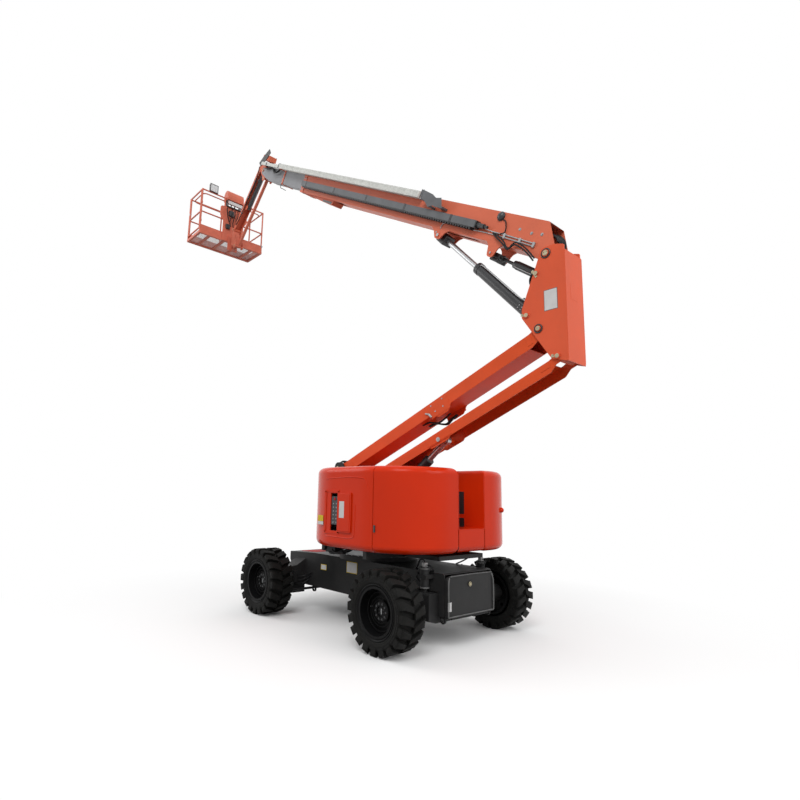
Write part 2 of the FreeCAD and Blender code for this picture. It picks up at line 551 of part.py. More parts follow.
# Hoods: a rounded shell in plan, open below, split at the centre slot and at one seam on each side.
hinge_y = size.slot_half_width + size.hood_wall + size.door_hinge_radius - 0.2
door_hinge_z = size.hood_high - 43
door_edge = hinge_y + size.door_hinge_radius + 0.4
seam_front = -size.hood_seam + size.seam_gap / 2
seam_rear = -size.hood_seam - size.seam_gap / 2
lid_hinge_x = -size.niche_rear - 12
lid_hinge_y = size.hood_half_width + size.seam_gap / 2 + 1 + size.lid_thickness / 2
lid_height = "niche_high - niche_low + 20"
mouth_edge = size.hood_edge_radius + size.hood_lip
for tag, side in (("left", 1), ("right", -1)):
    outer = hood_solid("hood_outer_" + tag, side, 0, size.hood_low, size.hood_high, size.hood_edge_radius)
    inner = hood_solid("hood_inner_" + tag, side, size.hood_wall, size.hood_low + size.hood_wall,
                       size.hood_high - size.hood_wall, size.hood_edge_radius - size.hood_wall)
    mouth = hood_solid("hood_mouth_" + tag, side, mouth_edge, size.hood_low - 20, size.hood_low + 40, 0)
    tail_mouth = box("hood_tail_mouth_" + tag, "hood_rear - hood_edge_radius - hood_lip - hood_seam", 130, 110,
                     place(-size.hood_rear + mouth_edge, 240 if side > 0 else -370, size.hood_low - 20))
    shell = cut("hood_shell_" + tag, outer, [inner, mouth, tail_mouth])
    front_keep = box("front_keep_" + tag, "hood_front + hood_seam - seam_gap / 2 + 20", 1400, 1400, place(
        seam_front, 0 if side > 0 else -1400, 900))
    rear_keep = box("rear_keep_" + tag, "hood_rear - hood_seam - seam_gap / 2 + 20", 1400, 1400, place(
        -size.hood_rear - 20, door_edge if side > 0 else -1400 - door_edge, 900))
    front = common("hood_front_half_" + tag, shell, front_keep)
    if side > 0:
        niche = box("control_niche", "niche_rear - niche_front", 120, "niche_high - niche_low", place(
            -size.niche_rear, size.hood_half_width - 60, size.niche_low))
        barrel = rod("lid_hinge", "lid_hinge_radius", lid_height,
                     (lid_hinge_x, lid_hinge_y, size.niche_low - 10))
        leaf = box("lid_hinge_leaf", "2 * lid_hinge_radius", lid_hinge_y - size.hood_half_width + 2, lid_height,
                   place(lid_hinge_x - size.lid_hinge_radius, size.hood_half_width - 2, size.niche_low - 10))
        front = fuse("hood_front_" + tag, [cut("hood_with_niche", front, [niche]), leaf, barrel])
    else:
        front.Label = "hood_front_" + tag
    node(front)
    node(common("hood_door_" + tag, shell, rear_keep))

# The slot's tail: floor and walls between the doors, with the doors' hinge rods along its top edges.
tail_length = "hood_rear - hood_seam - seam_gap / 2"
channel = [box("tail_floor", tail_length, "2 * slot_half_width + 2 * hood_wall", "hood_wall", place(
    -size.hood_rear, -size.slot_half_width - size.hood_wall, floor_low))]
windows = []
for side in (1, -1):
    wall_y = size.slot_half_width if side > 0 else -size.slot_half_width - size.hood_wall
    channel.append(box("tail_wall_%d" % side, tail_length, "hood_wall", "hood_high - 42 - %.1f" % floor_low,
                       place(-size.hood_rear, wall_y, floor_low)))
    channel.append(rod("door_hinge_%d" % side, "door_hinge_radius", tail_length,
                       (-size.hood_rear, side * hinge_y, door_hinge_z), (1, 0, 0)))
for low, high in ((1385, 1545), (1575, 1790)):
    windows.append(box("tail_window_%d" % low, 130, "2 * slot_half_width + 60", high - low, place(
        -1250, -size.slot_half_width - 30, low)))
node(cut("tail_channel", fuse("tail_channel_solid", channel), windows))

# Ground controls: a box behind the opening in the left hood, and the lid that hangs open behind it.
box_front = size.hood_half_width - size.hood_wall - 10
rim = 18
control_box = box("control_box", "niche_rear - niche_front + 36", "niche_depth + 40",
                  "niche_high - niche_low + 36", place(
                      -size.niche_rear - rim, box_front - size.niche_depth - 40, size.niche_low - rim))
control_recess = box("control_recess", "niche_rear - niche_front", "niche_depth + 2", "niche_high - niche_low",
                     place(-size.niche_rear, box_front - size.niche_depth, size.niche_low))
node(cut("ground_control", control_box, [control_recess]))
lid_low = size.lid_hinge_radius + 0.4
lid_length = size.niche_rear - size.niche_front + 12 + 6
node(plate("control_lid", "XZ", [
    (-lid_length, size.niche_low - 10, 22), (-lid_low, size.niche_low - 10), (-lid_low, size.niche_high + 10),
    (-lid_length, size.niche_high + 10, 22)], "lid_thickness", place(lid_hinge_x, lid_hinge_y, 0)))

# Riser links. Each is drawn with its lower pin at the origin, running towards -X, then raised.
upper_at = place(upper_low[0], 0, upper_low[1], "Y", size.link_angle)
lower_at = place(lower_low[0], 0, lower_low[1], "Y", size.link_angle)
reach_x, reach_z = polar(size.link_length, size.link_angle)
upper_top = (upper_low[0] - reach_x, upper_low[1] + reach_z)
lower_top = (lower_low[0] - reach_x, lower_low[1] + reach_z)
half_link = size.link_width / 2
side_wall = size.link_wall


def link_parts(tag, corners, webs, boss_radius):
    """Two side plates, the webs between them as (name, low, length, start), and a tube round each pin."""
    holes = [(0, 0, "link_pin_radius + running"), (-size.link_length, 0, "link_pin_radius + running")]
    parts = [plate("%s_side_%d" % (tag, side), "XZ", corners, "link_wall",
                   place(0, side * (half_link - side_wall / 2), 0), holes) for side in (1, -1)]
    for name, z, length, start in webs:
        parts.append(box("%s_web_%s" % (tag, name), length, "link_width - link_wall", "link_wall",
                         place(start, -half_link + side_wall / 2, z)))
    for index, x in enumerate((0, -size.link_length)):
        boss = cross_pin("%s_boss_%d" % (tag, index), boss_radius, "link_width", x, 0, 0, half_link)
        hole = cross_pin("%s_hole_%d" % (tag, index), "link_pin_radius + running", "link_width + 2", x, 0, 0,
                         half_link + 1)
        parts.append(cut("%s_tube_%d" % (tag, index), boss, [hole]))
    return parts


high = size.upper_link_top
low = high - size.upper_link_depth
nose = size.link_boss_radius + 8
upper_sides = [
    (-size.link_length - nose, -nose, nose), (-size.link_length + 160, low, 60), (-2330, low, 60),
    (-2250, low - 78, 50), (-2080, low - 78, 50), (-1990, low, 60),
    (-160, low, 60), (nose, -nose, nose), (nose, nose - 4, nose - 18), (-140, high, 60),
    (-size.link_length + 140, high, 60), (-size.link_length - nose, nose - 4, nose - 18)]
webs = (("top", high - side_wall, "link_length - 320", -size.link_length + 160),
        ("bottom", low, "link_length - 400", -size.link_length + 200))
node(fuse("upper_link", link_parts("upper", upper_sides, webs, "link_boss_radius"), upper_at))

high = size.lower_link_top
low = high - size.lower_link_depth
lower_sides = [
    (-size.link_length - nose, -nose, nose), (-size.link_length + 60, -nose, 40),
    (-size.link_length + 150, low, 60), (-120, low, 60), (-50, -nose, 30), (nose, -nose, nose),
    (nose, nose - 4, nose - 18), (-120, high, 60), (-size.link_length + 120, high, 60),
    (-size.link_length - nose, nose - 4, nose - 18)]
webs = (("top", high - side_wall, "link_length - 300", -size.link_length + 150),)
lower_solid = fuse("lower_link_solid", link_parts("lower", lower_sides, webs, "link_boss_radius - 4"))
riser_slot = box("riser_slot", "riser_slot_length", "riser_slot_width", 60, place(
    -size.riser_eye_reach - 80, -size.riser_slot_width / 2, high - 40))
stubs = []
for side in (1, -1):
    inner_y = half_link - side_wall
    pin_end = size.eye_width / 2 + size.side_gap
    stubs.append(rod("riser_stub_%d" % side, "eye_radius * 0.55", inner_y - pin_end + 2,
                     (-size.riser_eye_reach, side * (inner_y + 2), -size.riser_eye_drop), (0, -side, 0)))
    stubs.append(plate("riser_doubler_%d" % side, "XZ", [
        (-190, high - 20, 30), (-190, low - 26, 60), (190, low - 26, 60), (190, high - 20, 30)], "link_wall",
        place(-size.riser_eye_reach, side * (inner_y - side_wall / 2), 0)))
node(fuse("lower_link", [cut("lower_link_slotted", lower_solid, [riser_slot])] + stubs, lower_at))


def cylinder_pair(tag, base, eye, radii, barrel_length, foot_radius, eye_radius, pin_radius, piston):
    """Barrel and rod of a cylinder between two points of the XZ plane, drawn along +X and turned.

    piston is where the rod ends inside the barrel, as a share of the barrel's length."""
    barrel_radius, rod_radius = radii
    run = math.hypot(eye[0] - base[0], eye[1] - base[1])
    angle = -math.degrees(math.atan2(eye[1] - base[1], eye[0] - base[0]))
    at = place(base[0], 0, base[1], "Y", angle)
    length = getattr(size, barrel_length)
    half_eye = size.eye_width / 2
    pin_half = half_eye + size.side_gap - size.running
    foot = cross_pin(tag + "_foot", foot_radius, "eye_width", 0, 0, 0, half_eye)
    bore = cross_pin(tag + "_foot_bore", pin_radius + " + running", "eye_width + 2", 0, 0, 0, half_eye + 1)
    skip = 0.8 * getattr(size, foot_radius)
    tube = rod(tag + "_tube", barrel_radius, length - skip, (skip, 0, 0), (1, 0, 0))
    gland = rod(tag + "_gland", barrel_radius + " * 1.07", 60, (length - 60, 0, 0), (1, 0, 0))
    hollow = rod(tag + "_hollow", rod_radius + " + running", barrel_length,
                 (getattr(size, foot_radius) + 20, 0, 0), (1, 0, 0))
    node(cut(tag + "_barrel", fuse(tag + "_barrel_solid", [foot, tube, gland]), [hollow, bore], at))
    eye_disc = cross_pin(tag + "_eye", eye_radius, "eye_width", run, 0, 0, half_eye)
    eye_pin = cross_pin(tag + "_eye_pin", eye_radius + " * 0.55", 2 * pin_half, run, 0, 0, pin_half)
    stem_length = run - length * piston
    stem = rod(tag + "_stem", rod_radius, stem_length, (run - stem_length, 0, 0), (1, 0, 0))
    node(fuse(tag + "_rod", [eye_disc, eye_pin, stem], at))


riser_eye = frame_point(lower_low, -size.link_angle, -size.riser_eye_reach, -size.riser_eye_drop)
cylinder_pair("riser_cylinder", (size.riser_base_x, size.riser_base_z), riser_eye,
              ("riser_barrel_radius", "riser_rod_radius"), "riser_barrel_length", "foot_radius", "eye_radius",
              "link_pin_radius", 0.3)

# Head: two side plates and a back plate, with the pins of both links, of the boom and of its cylinders.
half_head = size.head_gap / 2
boom_pivot = (upper_top[0] + size.boom_pivot_x, upper_top[1] + size.boom_pivot_z)
lift_base = (upper_top[0] + size.lift_base_x, upper_top[1] + size.lift_base_z)
level_base = (upper_top[0] + size.level_base_x, upper_top[1] + size.level_base_z)
back_x = -size.head_back
back_low = lower_top[1] - 70
back_high = boom_pivot[1] - 22
head_side = [
    (boom_pivot[0] - 101, boom_pivot[1] + 75, 50), (back_x, boom_pivot[1] + 38, 10), (back_x, back_low, 10),
    (lower_top[0] + 70, lower_top[1] - 15, 60), (upper_top[0] + 109, upper_top[1] + 20, 60),
    (lift_base[0] + 64, lift_base[1] - 20, 40), (lift_base[0] + 60, lift_base[1] + 80, 50),
    (boom_pivot[0] + 91, boom_pivot[1] - 24, 60), (boom_pivot[0] + 55, boom_pivot[1] + 75, 50)]
head_parts = [plate("head_side_%d" % side, "XZ", head_side, "head_plate",
                    place(0, side * (half_head + size.head_plate / 2), 0)) for side in (1, -1)]
head_parts.append(box("head_back_plate", "head_back_wall", "head_gap + 2 * head_plate", back_high - back_low,
                      place(back_x - size.head_back_wall + 1, -half_head - size.head_plate, back_low)))
for index, (point, radius) in enumerate(((upper_top, "link_pin_radius"), (lower_top, "link_pin_radius"),
                                         (boom_pivot, "boom_pin_radius"), (lift_base, "link_pin_radius"),
                                         (level_base, "small_pin_radius"))):
    head_parts.append(cross_pin("head_pin_%d" % index, radius, "head_gap + 2 * head_plate + 30",
                                point[0], point[1], 0, half_head + size.head_plate + 15))
node(fuse("tower_head", head_parts))

# Boom: outer tube, fly tube and what they carry, drawn along +X from the pivot and raised.
boom_at = place(boom_pivot[0], 0, boom_pivot[1], "Y", -size.boom_angle)
half_boom = size.boom_width / 2
boom_top = size.boom_bottom + size.boom_depth
room_low = size.boom_bottom + size.boom_wall
room_high = boom_top - size.boom_wall
room_half = half_boom - size.boom_wall
half_fly = size.fly_width / 2
fly_top = size.fly_bottom + size.fly_depth


def on_boom(x, y, z):
    return FreeCAD.Placement(boom_at.multVec(V(x, y, z)), boom_at.Rotation)


outer_tube = plate("boom_skin", "XZ", [
    (-size.boom_tail, -size.boom_tail, 40), (110, size.boom_bottom - 45, 40), (260, size.boom_bottom),
    (size.boom_length, size.boom_bottom), (size.boom_length, boom_top), (160, boom_top),
    (-size.boom_tail, boom_top - 72, 10)], "boom_width", None, [(0, 0, "boom_pin_radius + running")])
inner_room = box("boom_room", "boom_length + boom_tail + 40", "boom_width - 2 * boom_wall",
                 "boom_depth - 2 * boom_wall", place(-size.boom_tail - 20, -room_half, room_low))
lift_slot = box("lift_slot", 740, "eye_slot", "boom_wall + 60", place(
    size.lift_eye_x - 605, -size.eye_slot / 2, size.boom_bottom - 30))
pocket = box("boom_pocket", 1090, 170, "boom_wall + 20", place(4475, -85, size.boom_bottom - 10))
boom_parts = [cut("boom_tube", outer_tube, [inner_room, lift_slot, pocket])]
pivot_tube = cross_pin("boom_pivot_tube", "boom_pin_radius + 30", "head_gap - 2 * side_gap", 0, 0, 0,
                       half_head - size.side_gap)
pivot_hole = cross_pin("boom_pivot_hole", "boom_pin_radius + running", "head_gap + 4", 0, 0, 0, half_head + 2)
boom_parts.append(cut("boom_pivot_boss", pivot_tube, [pivot_hole]))
collar_from = size.boom_length - size.collar_length
collar_band = box("collar_band", "collar_length", "boom_width + 2 * collar_wall", "boom_depth + 2 * collar_wall",
                  place(collar_from, -half_boom - size.collar_wall, size.boom_bottom - size.collar_wall))
collar_room = box("collar_room", "collar_length + 2", "boom_width - 2", "boom_depth - 2",
                  place(collar_from - 1, -half_boom + 1, size.boom_bottom + 1))
boom_parts.append(cut("collar", collar_band, [collar_room]))


def pads(tag, start, gaps):
    """Four wear pads between the boom's inside and the fly. gaps are the inner and outer distances kept."""
    inner, outer = gaps
    low, high, half = room_low + outer, room_high - outer, room_half - outer
    inner_low, inner_high, inner_half = size.fly_bottom - inner, fly_top + inner, half_fly + inner
    made = []
    for name, y, z, width, height in (
            ("low", -half + 40, low, 2 * half - 80, inner_low - low),
            ("high", -half + 40, inner_high, 2 * half - 80, high - inner_high),
            ("left", inner_half, low + 60, half - inner_half, high - low - 120),
            ("right", -half, low + 60, half - inner_half, high - low - 120)):
        made.append(box("%s_pad_%s" % (tag, name), "pad_length", width, height, place(start, y, z)))
    return made


boom_parts += pads("front", size.boom_length - size.pad_length - 4, (size.pad_gap, -2))
plate_y = half_boom - size.bracket_plate / 2
stub_end = size.eye_width / 2 + size.side_gap
for tag, x, z, reach, radius in (("lift", size.lift_eye_x, size.lift_eye_z, 186, "eye_radius * 0.55"),
                                 ("level", size.level_eye_x, size.level_eye_z, 142, "small_eye_radius * 0.55")):
    for side in (1, -1):
        boom_parts.append(plate("%s_ear_%d" % (tag, side), "XZ", [
            (x - 44, z - 50, 44), (x + 44, z - 50, 44), (x + reach * 0.6, size.boom_bottom - 40, 80),
            (x + reach, size.boom_bottom + 6), (x - reach, size.boom_bottom + 6),
            (x - reach * 0.6, size.boom_bottom - 40, 80)], "bracket_plate", place(0, side * plate_y, 0)))
        boom_parts.append(rod("%s_stub_%d" % (tag, side), radius, half_boom + 10 - stub_end,
                              (x, side * (half_boom + 10), z), (0, -side, 0)))
node(fuse("boom_outer", boom_parts, boom_at))

bar_skin = box("bar_skin", "bar_to - bar_from", "bar_width", "bar_height", place())
bar_room = box("bar_room", "bar_to - bar_from + 2", "bar_width - 2 * bar_wall", "bar_height - 2 * bar_wall",
               place(-1, size.bar_wall, size.bar_wall))
node(cut("boom_guide_tube", bar_skin, [bar_room], on_boom(
    size.bar_from, half_boom + size.seat, size.bar_level - size.bar_height / 2)))

track_low = size.track_level - size.track_height / 2
track_y = half_boom + size.track_gap
guide_y = track_y + size.track_width + size.side_gap
guide_plate = plate("guide_plate", "XZ", [
    (size.guide_from, track_low - 90, 20), (size.guide_to - 220, track_low - 90, 30),
    (size.guide_to, track_low - 40, 30), (size.guide_to, track_low + size.track_height + 30, 15),
    (size.guide_from + 60, track_low + size.track_height - 20, 15)], 10, place(0, guide_y + 5, 0))
guide_shelf = box("guide_shelf", 360, guide_y + 2 - half_boom - size.seat, 14, place(
    size.guide_from + 20, half_boom + size.seat, track_low - 60))
node(fuse("track_guide", [guide_plate, guide_shelf], boom_at))

fly_start = size.fly_reach - size.fly_length
fly_skin = box("fly_skin", "fly_length", "fly_width", "fly_depth", place(fly_start, -half_fly, size.fly_bottom))
fly_room = box("fly_room", "fly_length + 20", "fly_width - 2 * fly_wall", "fly_depth - 2 * fly_wall",
               place(fly_start - 10, -half_fly + size.fly_wall, size.fly_bottom + size.fly_wall))
tip = frame_point(boom_pivot, size.boom_angle, size.tip_x, size.tip_z)
nose_world = (tip[0] + size.nose_pivot_x, tip[1] + size.nose_pivot_z)
nose_x, nose_z = frame_point((0, 0), -size.boom_angle, nose_world[0] - boom_pivot[0],
                             nose_world[1] - boom_pivot[1])
round_nose = size.nose_radius
nose_y = half_fly - size.fly_wall
nose_plates = [plate("fly_nose_%d" % side, "XZ", [
    (size.fly_reach - 200, size.fly_bottom + 20), (size.fly_reach + 60, size.fly_bottom + 20, 60),
    (nose_x + round_nose, nose_z - round_nose, round_nose),
    (nose_x + round_nose, nose_z + round_nose, round_nose),
    (size.fly_reach - 200, fly_top - 10)], "bracket_plate",
    place(0, side * nose_y, 0), [(nose_x, nose_z, "jib_pin_radius + running")])
    for side in (1, -1)]
node(fuse("boom_fly", [cut("fly_tube", fly_skin, [fly_room])] + nose_plates
          + pads("rear", fly_start, (-2, size.pad_gap)), boom_at))

node(box("cable_carrier", "track_to - track_from", "track_width", "track_height", on_boom(
    size.track_from, track_y, track_low)))
band_out = size.band_wall + size.seat
band_skin = box("band_skin", "band_width", size.fly_width + 2 * band_out, size.fly_depth + 2 * band_out,
                place(size.band_place, -half_fly - band_out, size.fly_bottom - band_out))
band_room = box("band_room", "band_width + 2", size.fly_width + 2 * size.seat, size.fly_depth + 2 * size.seat,
                place(size.band_place - 1, -half_fly - size.seat, size.fly_bottom - size.seat))
band_shelf = box("band_shelf", "band_width", track_y + size.track_width - half_fly - band_out + 2, "band_wall",
                 place(size.band_place, half_fly + band_out - 2, track_low - size.seat - size.band_wall))
node(fuse("carrier_bracket", [cut("band", band_skin, [band_room]), band_shelf], boom_at))
node(box("fly_conduit", 1010, 60, 62, on_boom(size.track_to + size.seat, half_fly + 5, track_low + 18)))

lift_eye = frame_point(boom_pivot, size.boom_angle, size.lift_eye_x, size.lift_eye_z)
level_eye = frame_point(boom_pivot, size.boom_angle, size.level_eye_x, size.level_eye_z)
cylinder_pair("lift_cylinder", lift_base, lift_eye, ("lift_barrel_radius", "lift_rod_radius"),
              "lift_barrel_length", "foot_radius", "eye_radius", "link_pin_radius", 0.5)
cylinder_pair("level_cylinder", level_base, level_eye, ("level_barrel_radius", "level_rod_radius"),
              "level_barrel_length", "small_eye_radius", "small_eye_radius", "small_pin_radius", 0.54)

# Tip: a levelled bracket on the fly's nose that carries the jib's arms, and its lever plates above.
half_jib = size.jib_width / 2
jib_low = (tip[0] + size.jib_step_x, tip[1] + size.jib_step_z)
jib_eye = (tip[0] + size.jib_eye_x, tip[1] + size.jib_eye_z)
bracket_in = half_jib + size.side_gap
bracket_out = bracket_in + size.tip_plate
bracket_outline = [
    (52, 40, 40), (-60, 50, 40), (-212, -240, 50), (-205, -340, 50), (-168, -485, 45), (-68, -485, 45),
    (-55, -370, 60), (56, -150, 60)]
tip_parts = [plate("tip_plate_%d" % side, "XZ", bracket_outline, "tip_plate",
                   place(tip[0], side * (bracket_in + size.tip_plate / 2), tip[1])) for side in (1, -1)]
tip_parts.append(cross_pin("nose_pin", "jib_pin_radius", "fly_width + 30", nose_world[0], nose_world[1], 0,
                           half_fly + 15))
for index, (x, z) in enumerate((tip, jib_low)):
    tip_parts.append(cross_pin("tip_pin_%d" % index, "jib_pin_radius", 2 * bracket_out, x, z, 0, bracket_out))
for side in (1, -1):
    tip_parts.append(rod("tip_stub_%d" % side, "small_eye_radius * 0.55", bracket_in + 2 - stub_end,
                         (jib_eye[0], side * (bracket_in + 2), jib_eye[1]), (0, -side, 0)))
tip_parts.append(box("tip_block", 300, 2 * bracket_in + 4, 104, place(
    tip[0] - 276, -bracket_in - 2, tip[1] - 91, "Y", -size.boom_angle)))
node(fuse("tip_bracket", tip_parts))
lever_y = bracket_out + size.seat + 3
lever = []
for side in (1, -1):
    lever.append(plate("lever_%d" % side, "XZ", [
        (128, 52, 30), (-313, 159, 12), (-391, 50, 12), (-125, -23, 40), (5, -105, 30)], 6,
        place(tip[0], side * lever_y, tip[1])))
node(group("tip_lever", lever))

jib_run = polar(size.jib_length, size.jib_angle)
jib_end = (tip[0] + jib_run[0], tip[1] + jib_run[1])
jib_end_low = (jib_low[0] + jib_run[0], jib_low[1] + jib_run[1])
jib_low_z = size.jib_top - size.jib_depth
boss = size.jib_boss_radius
long = size.jib_length


def jib_tubes(tag, half, width):
    """Cross tubes at both pins of a jib arm, and the bores through them."""
    tubes = []
    bores = []
    for index, x in enumerate((0, long)):
        tubes.append(cross_pin("%s_boss_%d" % (tag, index), "jib_boss_radius", width, x, 0, 0, half))
        bores.append(cross_pin("%s_bore_%d" % (tag, index), "jib_pin_radius + running", width + " + 2", x, 0, 0,
                               half + 1))
    return tubes, bores


tubes, bores = jib_tubes("jib_upper", half_jib, "jib_width")
upper_corners = [
    (-boss, -boss, boss - 4), (70, -boss, 30), (150, jib_low_z, 30), (long - 150, jib_low_z, 30),
    (long - 70, -boss, 30), (long + boss, -boss, boss - 4), (long + boss, size.jib_top, 25),
    (-boss, size.jib_top, 25)]
arm_parts = [plate("jib_side_%d" % side, "XZ", upper_corners, "jib_wall",
                   place(0, side * (half_jib - size.jib_wall / 2), 0)) for side in (1, -1)]
arm_parts.append(box("jib_top_plate", "jib_length", "jib_width - jib_wall", "jib_wall", place(
    0, -half_jib + size.jib_wall / 2, size.jib_top - size.jib_wall)))
foot_at = (size.jib_foot_reach, -size.jib_foot_drop)
ear_half = size.jib_barrel_radius + size.side_gap
for side in (1, -1):
    arm_parts.append(plate("jib_foot_ear_%d" % side, "XZ", [
        (foot_at[0] - 40, foot_at[1] - 40, 38), (foot_at[0] + 40, foot_at[1] - 40, 38),
        (foot_at[0] + 90, size.jib_top - 4), (foot_at[0] - 90, size.jib_top - 4)], "tip_plate",
        place(0, side * (ear_half + size.tip_plate / 2), 0)))
arm_parts.append(cross_pin("jib_foot_pin", "jib_pin_radius", 2 * (ear_half + size.tip_plate), foot_at[0],
                           foot_at[1], 0, ear_half + size.tip_plate))
node(cut("jib_upper_arm", fuse("jib_upper_solid", arm_parts + tubes), bores,
         place(tip[0], 0, tip[1], "Y", -size.jib_angle)))

half_bar = size.jib_rod_width / 2
tubes, bores = jib_tubes("jib_lower", half_bar, "jib_rod_width")
bar = box("jib_bar", "jib_length", "jib_rod_width", "jib_rod_depth", place(0, -half_bar, -size.jib_rod_depth / 2))
bar_core = box("jib_bar_core", "jib_length - 160", "jib_rod_width - 12", "jib_rod_depth - 12",
               place(80, -half_bar + 6, -size.jib_rod_depth / 2 + 6))
node(cut("jib_lower_arm", fuse("jib_lower_solid", [bar] + tubes), bores + [bar_core],
         place(jib_low[0], 0, jib_low[1], "Y", -size.jib_angle)))

jib_foot = frame_point(tip, size.jib_angle, foot_at[0], foot_at[1])
cylinder_pair("jib_cylinder", jib_foot, jib_eye, ("jib_barrel_radius", "jib_rod_radius"), "jib_barrel_length",
              "small_eye_radius", "small_eye_radius", "jib_pin_radius", 0.28)

# Platform mount: upright plates at the jib's end that hold the housing on which the platform turns.
housing_height = "housing_high - housing_low"
upright = [plate("mount_plate_%d" % side, "XZ", [
    (-38, 38, 36), (38, 38, 36), (38, -110, 10), (58, -150, 15), (58, -380, 20), (-20, -392, 40),
    (-72, -482, 44), (-162, -482, 44), (-162, -380, 44), (-38, -90, 80)], "tip_plate",
    place(jib_end[0], side * (bracket_in + size.tip_plate / 2), jib_end[1])) for side in (1, -1)]
for index, (x, z) in enumerate((jib_end, jib_end_low)):
    upright.append(cross_pin("mount_pin_%d" % index, "jib_pin_radius", 2 * bracket_out + 16, x, z, 0,
                             bracket_out + 8))
upright.append(box("mount_web", "turn_axis - %.1f" % (jib_end[0] - 5), 2 * bracket_in + 4, 210, place(
    jib_end[0] - 5, -bracket_in - 2, size.housing_low + 30)))
upright.append(rod("turn_housing", "housing_radius", housing_height, (size.turn_axis, 0, size.housing_low)))
turn_bore = rod("turn_bore", "turn_shaft_radius + running", housing_height + " + 2",
                (size.turn_axis, 0, size.housing_low - 1))
node(cut("platform_mount", fuse("mount_solid", upright), [turn_bore]))

# Platform: support with the turning shaft, floor, grating, rails, swing gate, console, lamp.
floor_z = size.platform_floor
plat_x = size.platform_centre
half_long = size.platform_length / 2
half_wide = size.platform_width / 2
rear_x = plat_x - half_wide
panel_x = rear_x - size.seat - size.panel_thickness
back_plate_x = size.turn_axis + size.housing_radius + 35
arm_half = size.turn_shaft_radius + 5
support = [rod("turn_shaft", "turn_shaft_radius", housing_height + " + 2 * turn_gap + 20",
               (size.turn_axis, 0, size.housing_low - size.turn_gap - 10))]
for tag, z in (("low", size.housing_low - size.turn_gap - size.turn_plate),
               ("high", size.housing_high + size.turn_gap)):
    support.append(box("turn_arm_" + tag, panel_x - size.turn_axis + 5, 2 * arm_half, "turn_plate",
                       place(size.turn_axis, -arm_half, z)))
    support.append(rod("turn_arm_end_" + tag, str(arm_half), "turn_plate", (size.turn_axis, 0, z)))
support_low = size.housing_low - size.turn_gap - size.turn_plate
support_high = size.housing_high + size.turn_gap + size.turn_plate
support.append(box("turn_back", panel_x - back_plate_x + 2, 240, support_high - support_low,
                   place(back_plate_x, -120, support_low)))
panel_outline = [
    (-260, floor_z - size.floor_depth), (260, floor_z - size.floor_depth), (260, floor_z + 430, 40),
    (340, floor_z + 560, 40), (340, floor_z + 780, 50), (205, floor_z + 803), (-205, floor_z + 803),
    (-340, floor_z + 780, 50), (-340, floor_z + 560, 40), (-260, floor_z + 430, 40)]
support.append(plate("support_panel", "YZ", panel_outline, "panel_thickness",
                     place(panel_x + size.panel_thickness / 2)))
node(fuse("platform_support", support))

rim_in = size.floor_rim
outer_floor = box("floor_outer", "platform_width", "platform_length", "floor_depth",
                  place(rear_x, -half_long, floor_z - size.floor_depth))
floor_void = box("floor_void", "platform_width - 2 * floor_rim", "platform_length - 2 * floor_rim",
                 "floor_depth + 2", place(rear_x + rim_in, -half_long + rim_in, floor_z - size.floor_depth - 1))
rib_top = floor_z - 20 - size.grating_thickness - size.seat
ribs = [box("floor_rib_%d" % index, "platform_width - 2 * floor_rim + 4", 56, 30,
            place(rear_x + rim_in - 2, y - 28, rib_top - 30)) for index, y in enumerate((-540, -180, 180, 540))]
node(fuse("floor_frame", [cut("floor_rim_frame", outer_floor, [floor_void])] + ribs))
node(box("floor_grating", "platform_width - 2 * floor_rim - 2 * seat",
         "platform_length - 2 * floor_rim - 2 * seat", "grating_thickness", place(
             rear_x + rim_in + size.seat, -half_long + rim_in + size.seat,
             floor_z - 20 - size.grating_thickness)))

rail = size.rail_radius
rail_top = floor_z + size.rail_height
console_half = size.console_width / 2
side_span = size.platform_length - 2 * rail
rails = []
for level, height in (("top", size.rail_height), ("mid", size.mid_rail_height)):
    z = floor_z + height
    rails.append(rod("rail_front_" + level, "bar_radius", "platform_length - 2 * rail_radius",
                     (rear_x + 2 * half_wide - rail, -half_long + rail, z), (0, 1, 0), -90))
    rails.append(rod("rail_end_" + level, "bar_radius", "platform_width - 2 * rail_radius",
                     (rear_x + rail, -half_long + rail, z), (1, 0, 0), 180))
rails.append(rod("rail_rear_mid", "bar_radius", "platform_length - 2 * rail_radius",
                 (rear_x + rail, -half_long + rail, floor_z + size.mid_rail_height), (0, 1, 0), -90))
for side in (1, -1):
    rails.append(rod("rail_rear_top_%d" % side, "bar_radius",
                     "platform_length / 2 - rail_radius - console_width / 2 - seat",
                     (rear_x + rail, console_half + size.seat if side > 0 else -half_long + rail, rail_top),
                     (0, 1, 0), -90))
    rails.append(rod("console_post_%d" % side, "rail_radius", "rail_height",
                     (rear_x + rail, side * (console_half + size.seat + rail), floor_z)))
for index, (x, y) in enumerate(((-1, -1), (-1, 1), (1, -1), (1, 1), (1, 0))):
    rails.append(rod("post_%d" % index, "rail_radius", "rail_height",
                     (plat_x + x * (half_wide - rail), y * (half_long - rail), floor_z)))
    if y:
        rails.append(rod("post_cap_%d" % index, "rail_radius", 12,
                         (plat_x + x * (half_wide - rail), y * (half_long - rail), rail_top)))
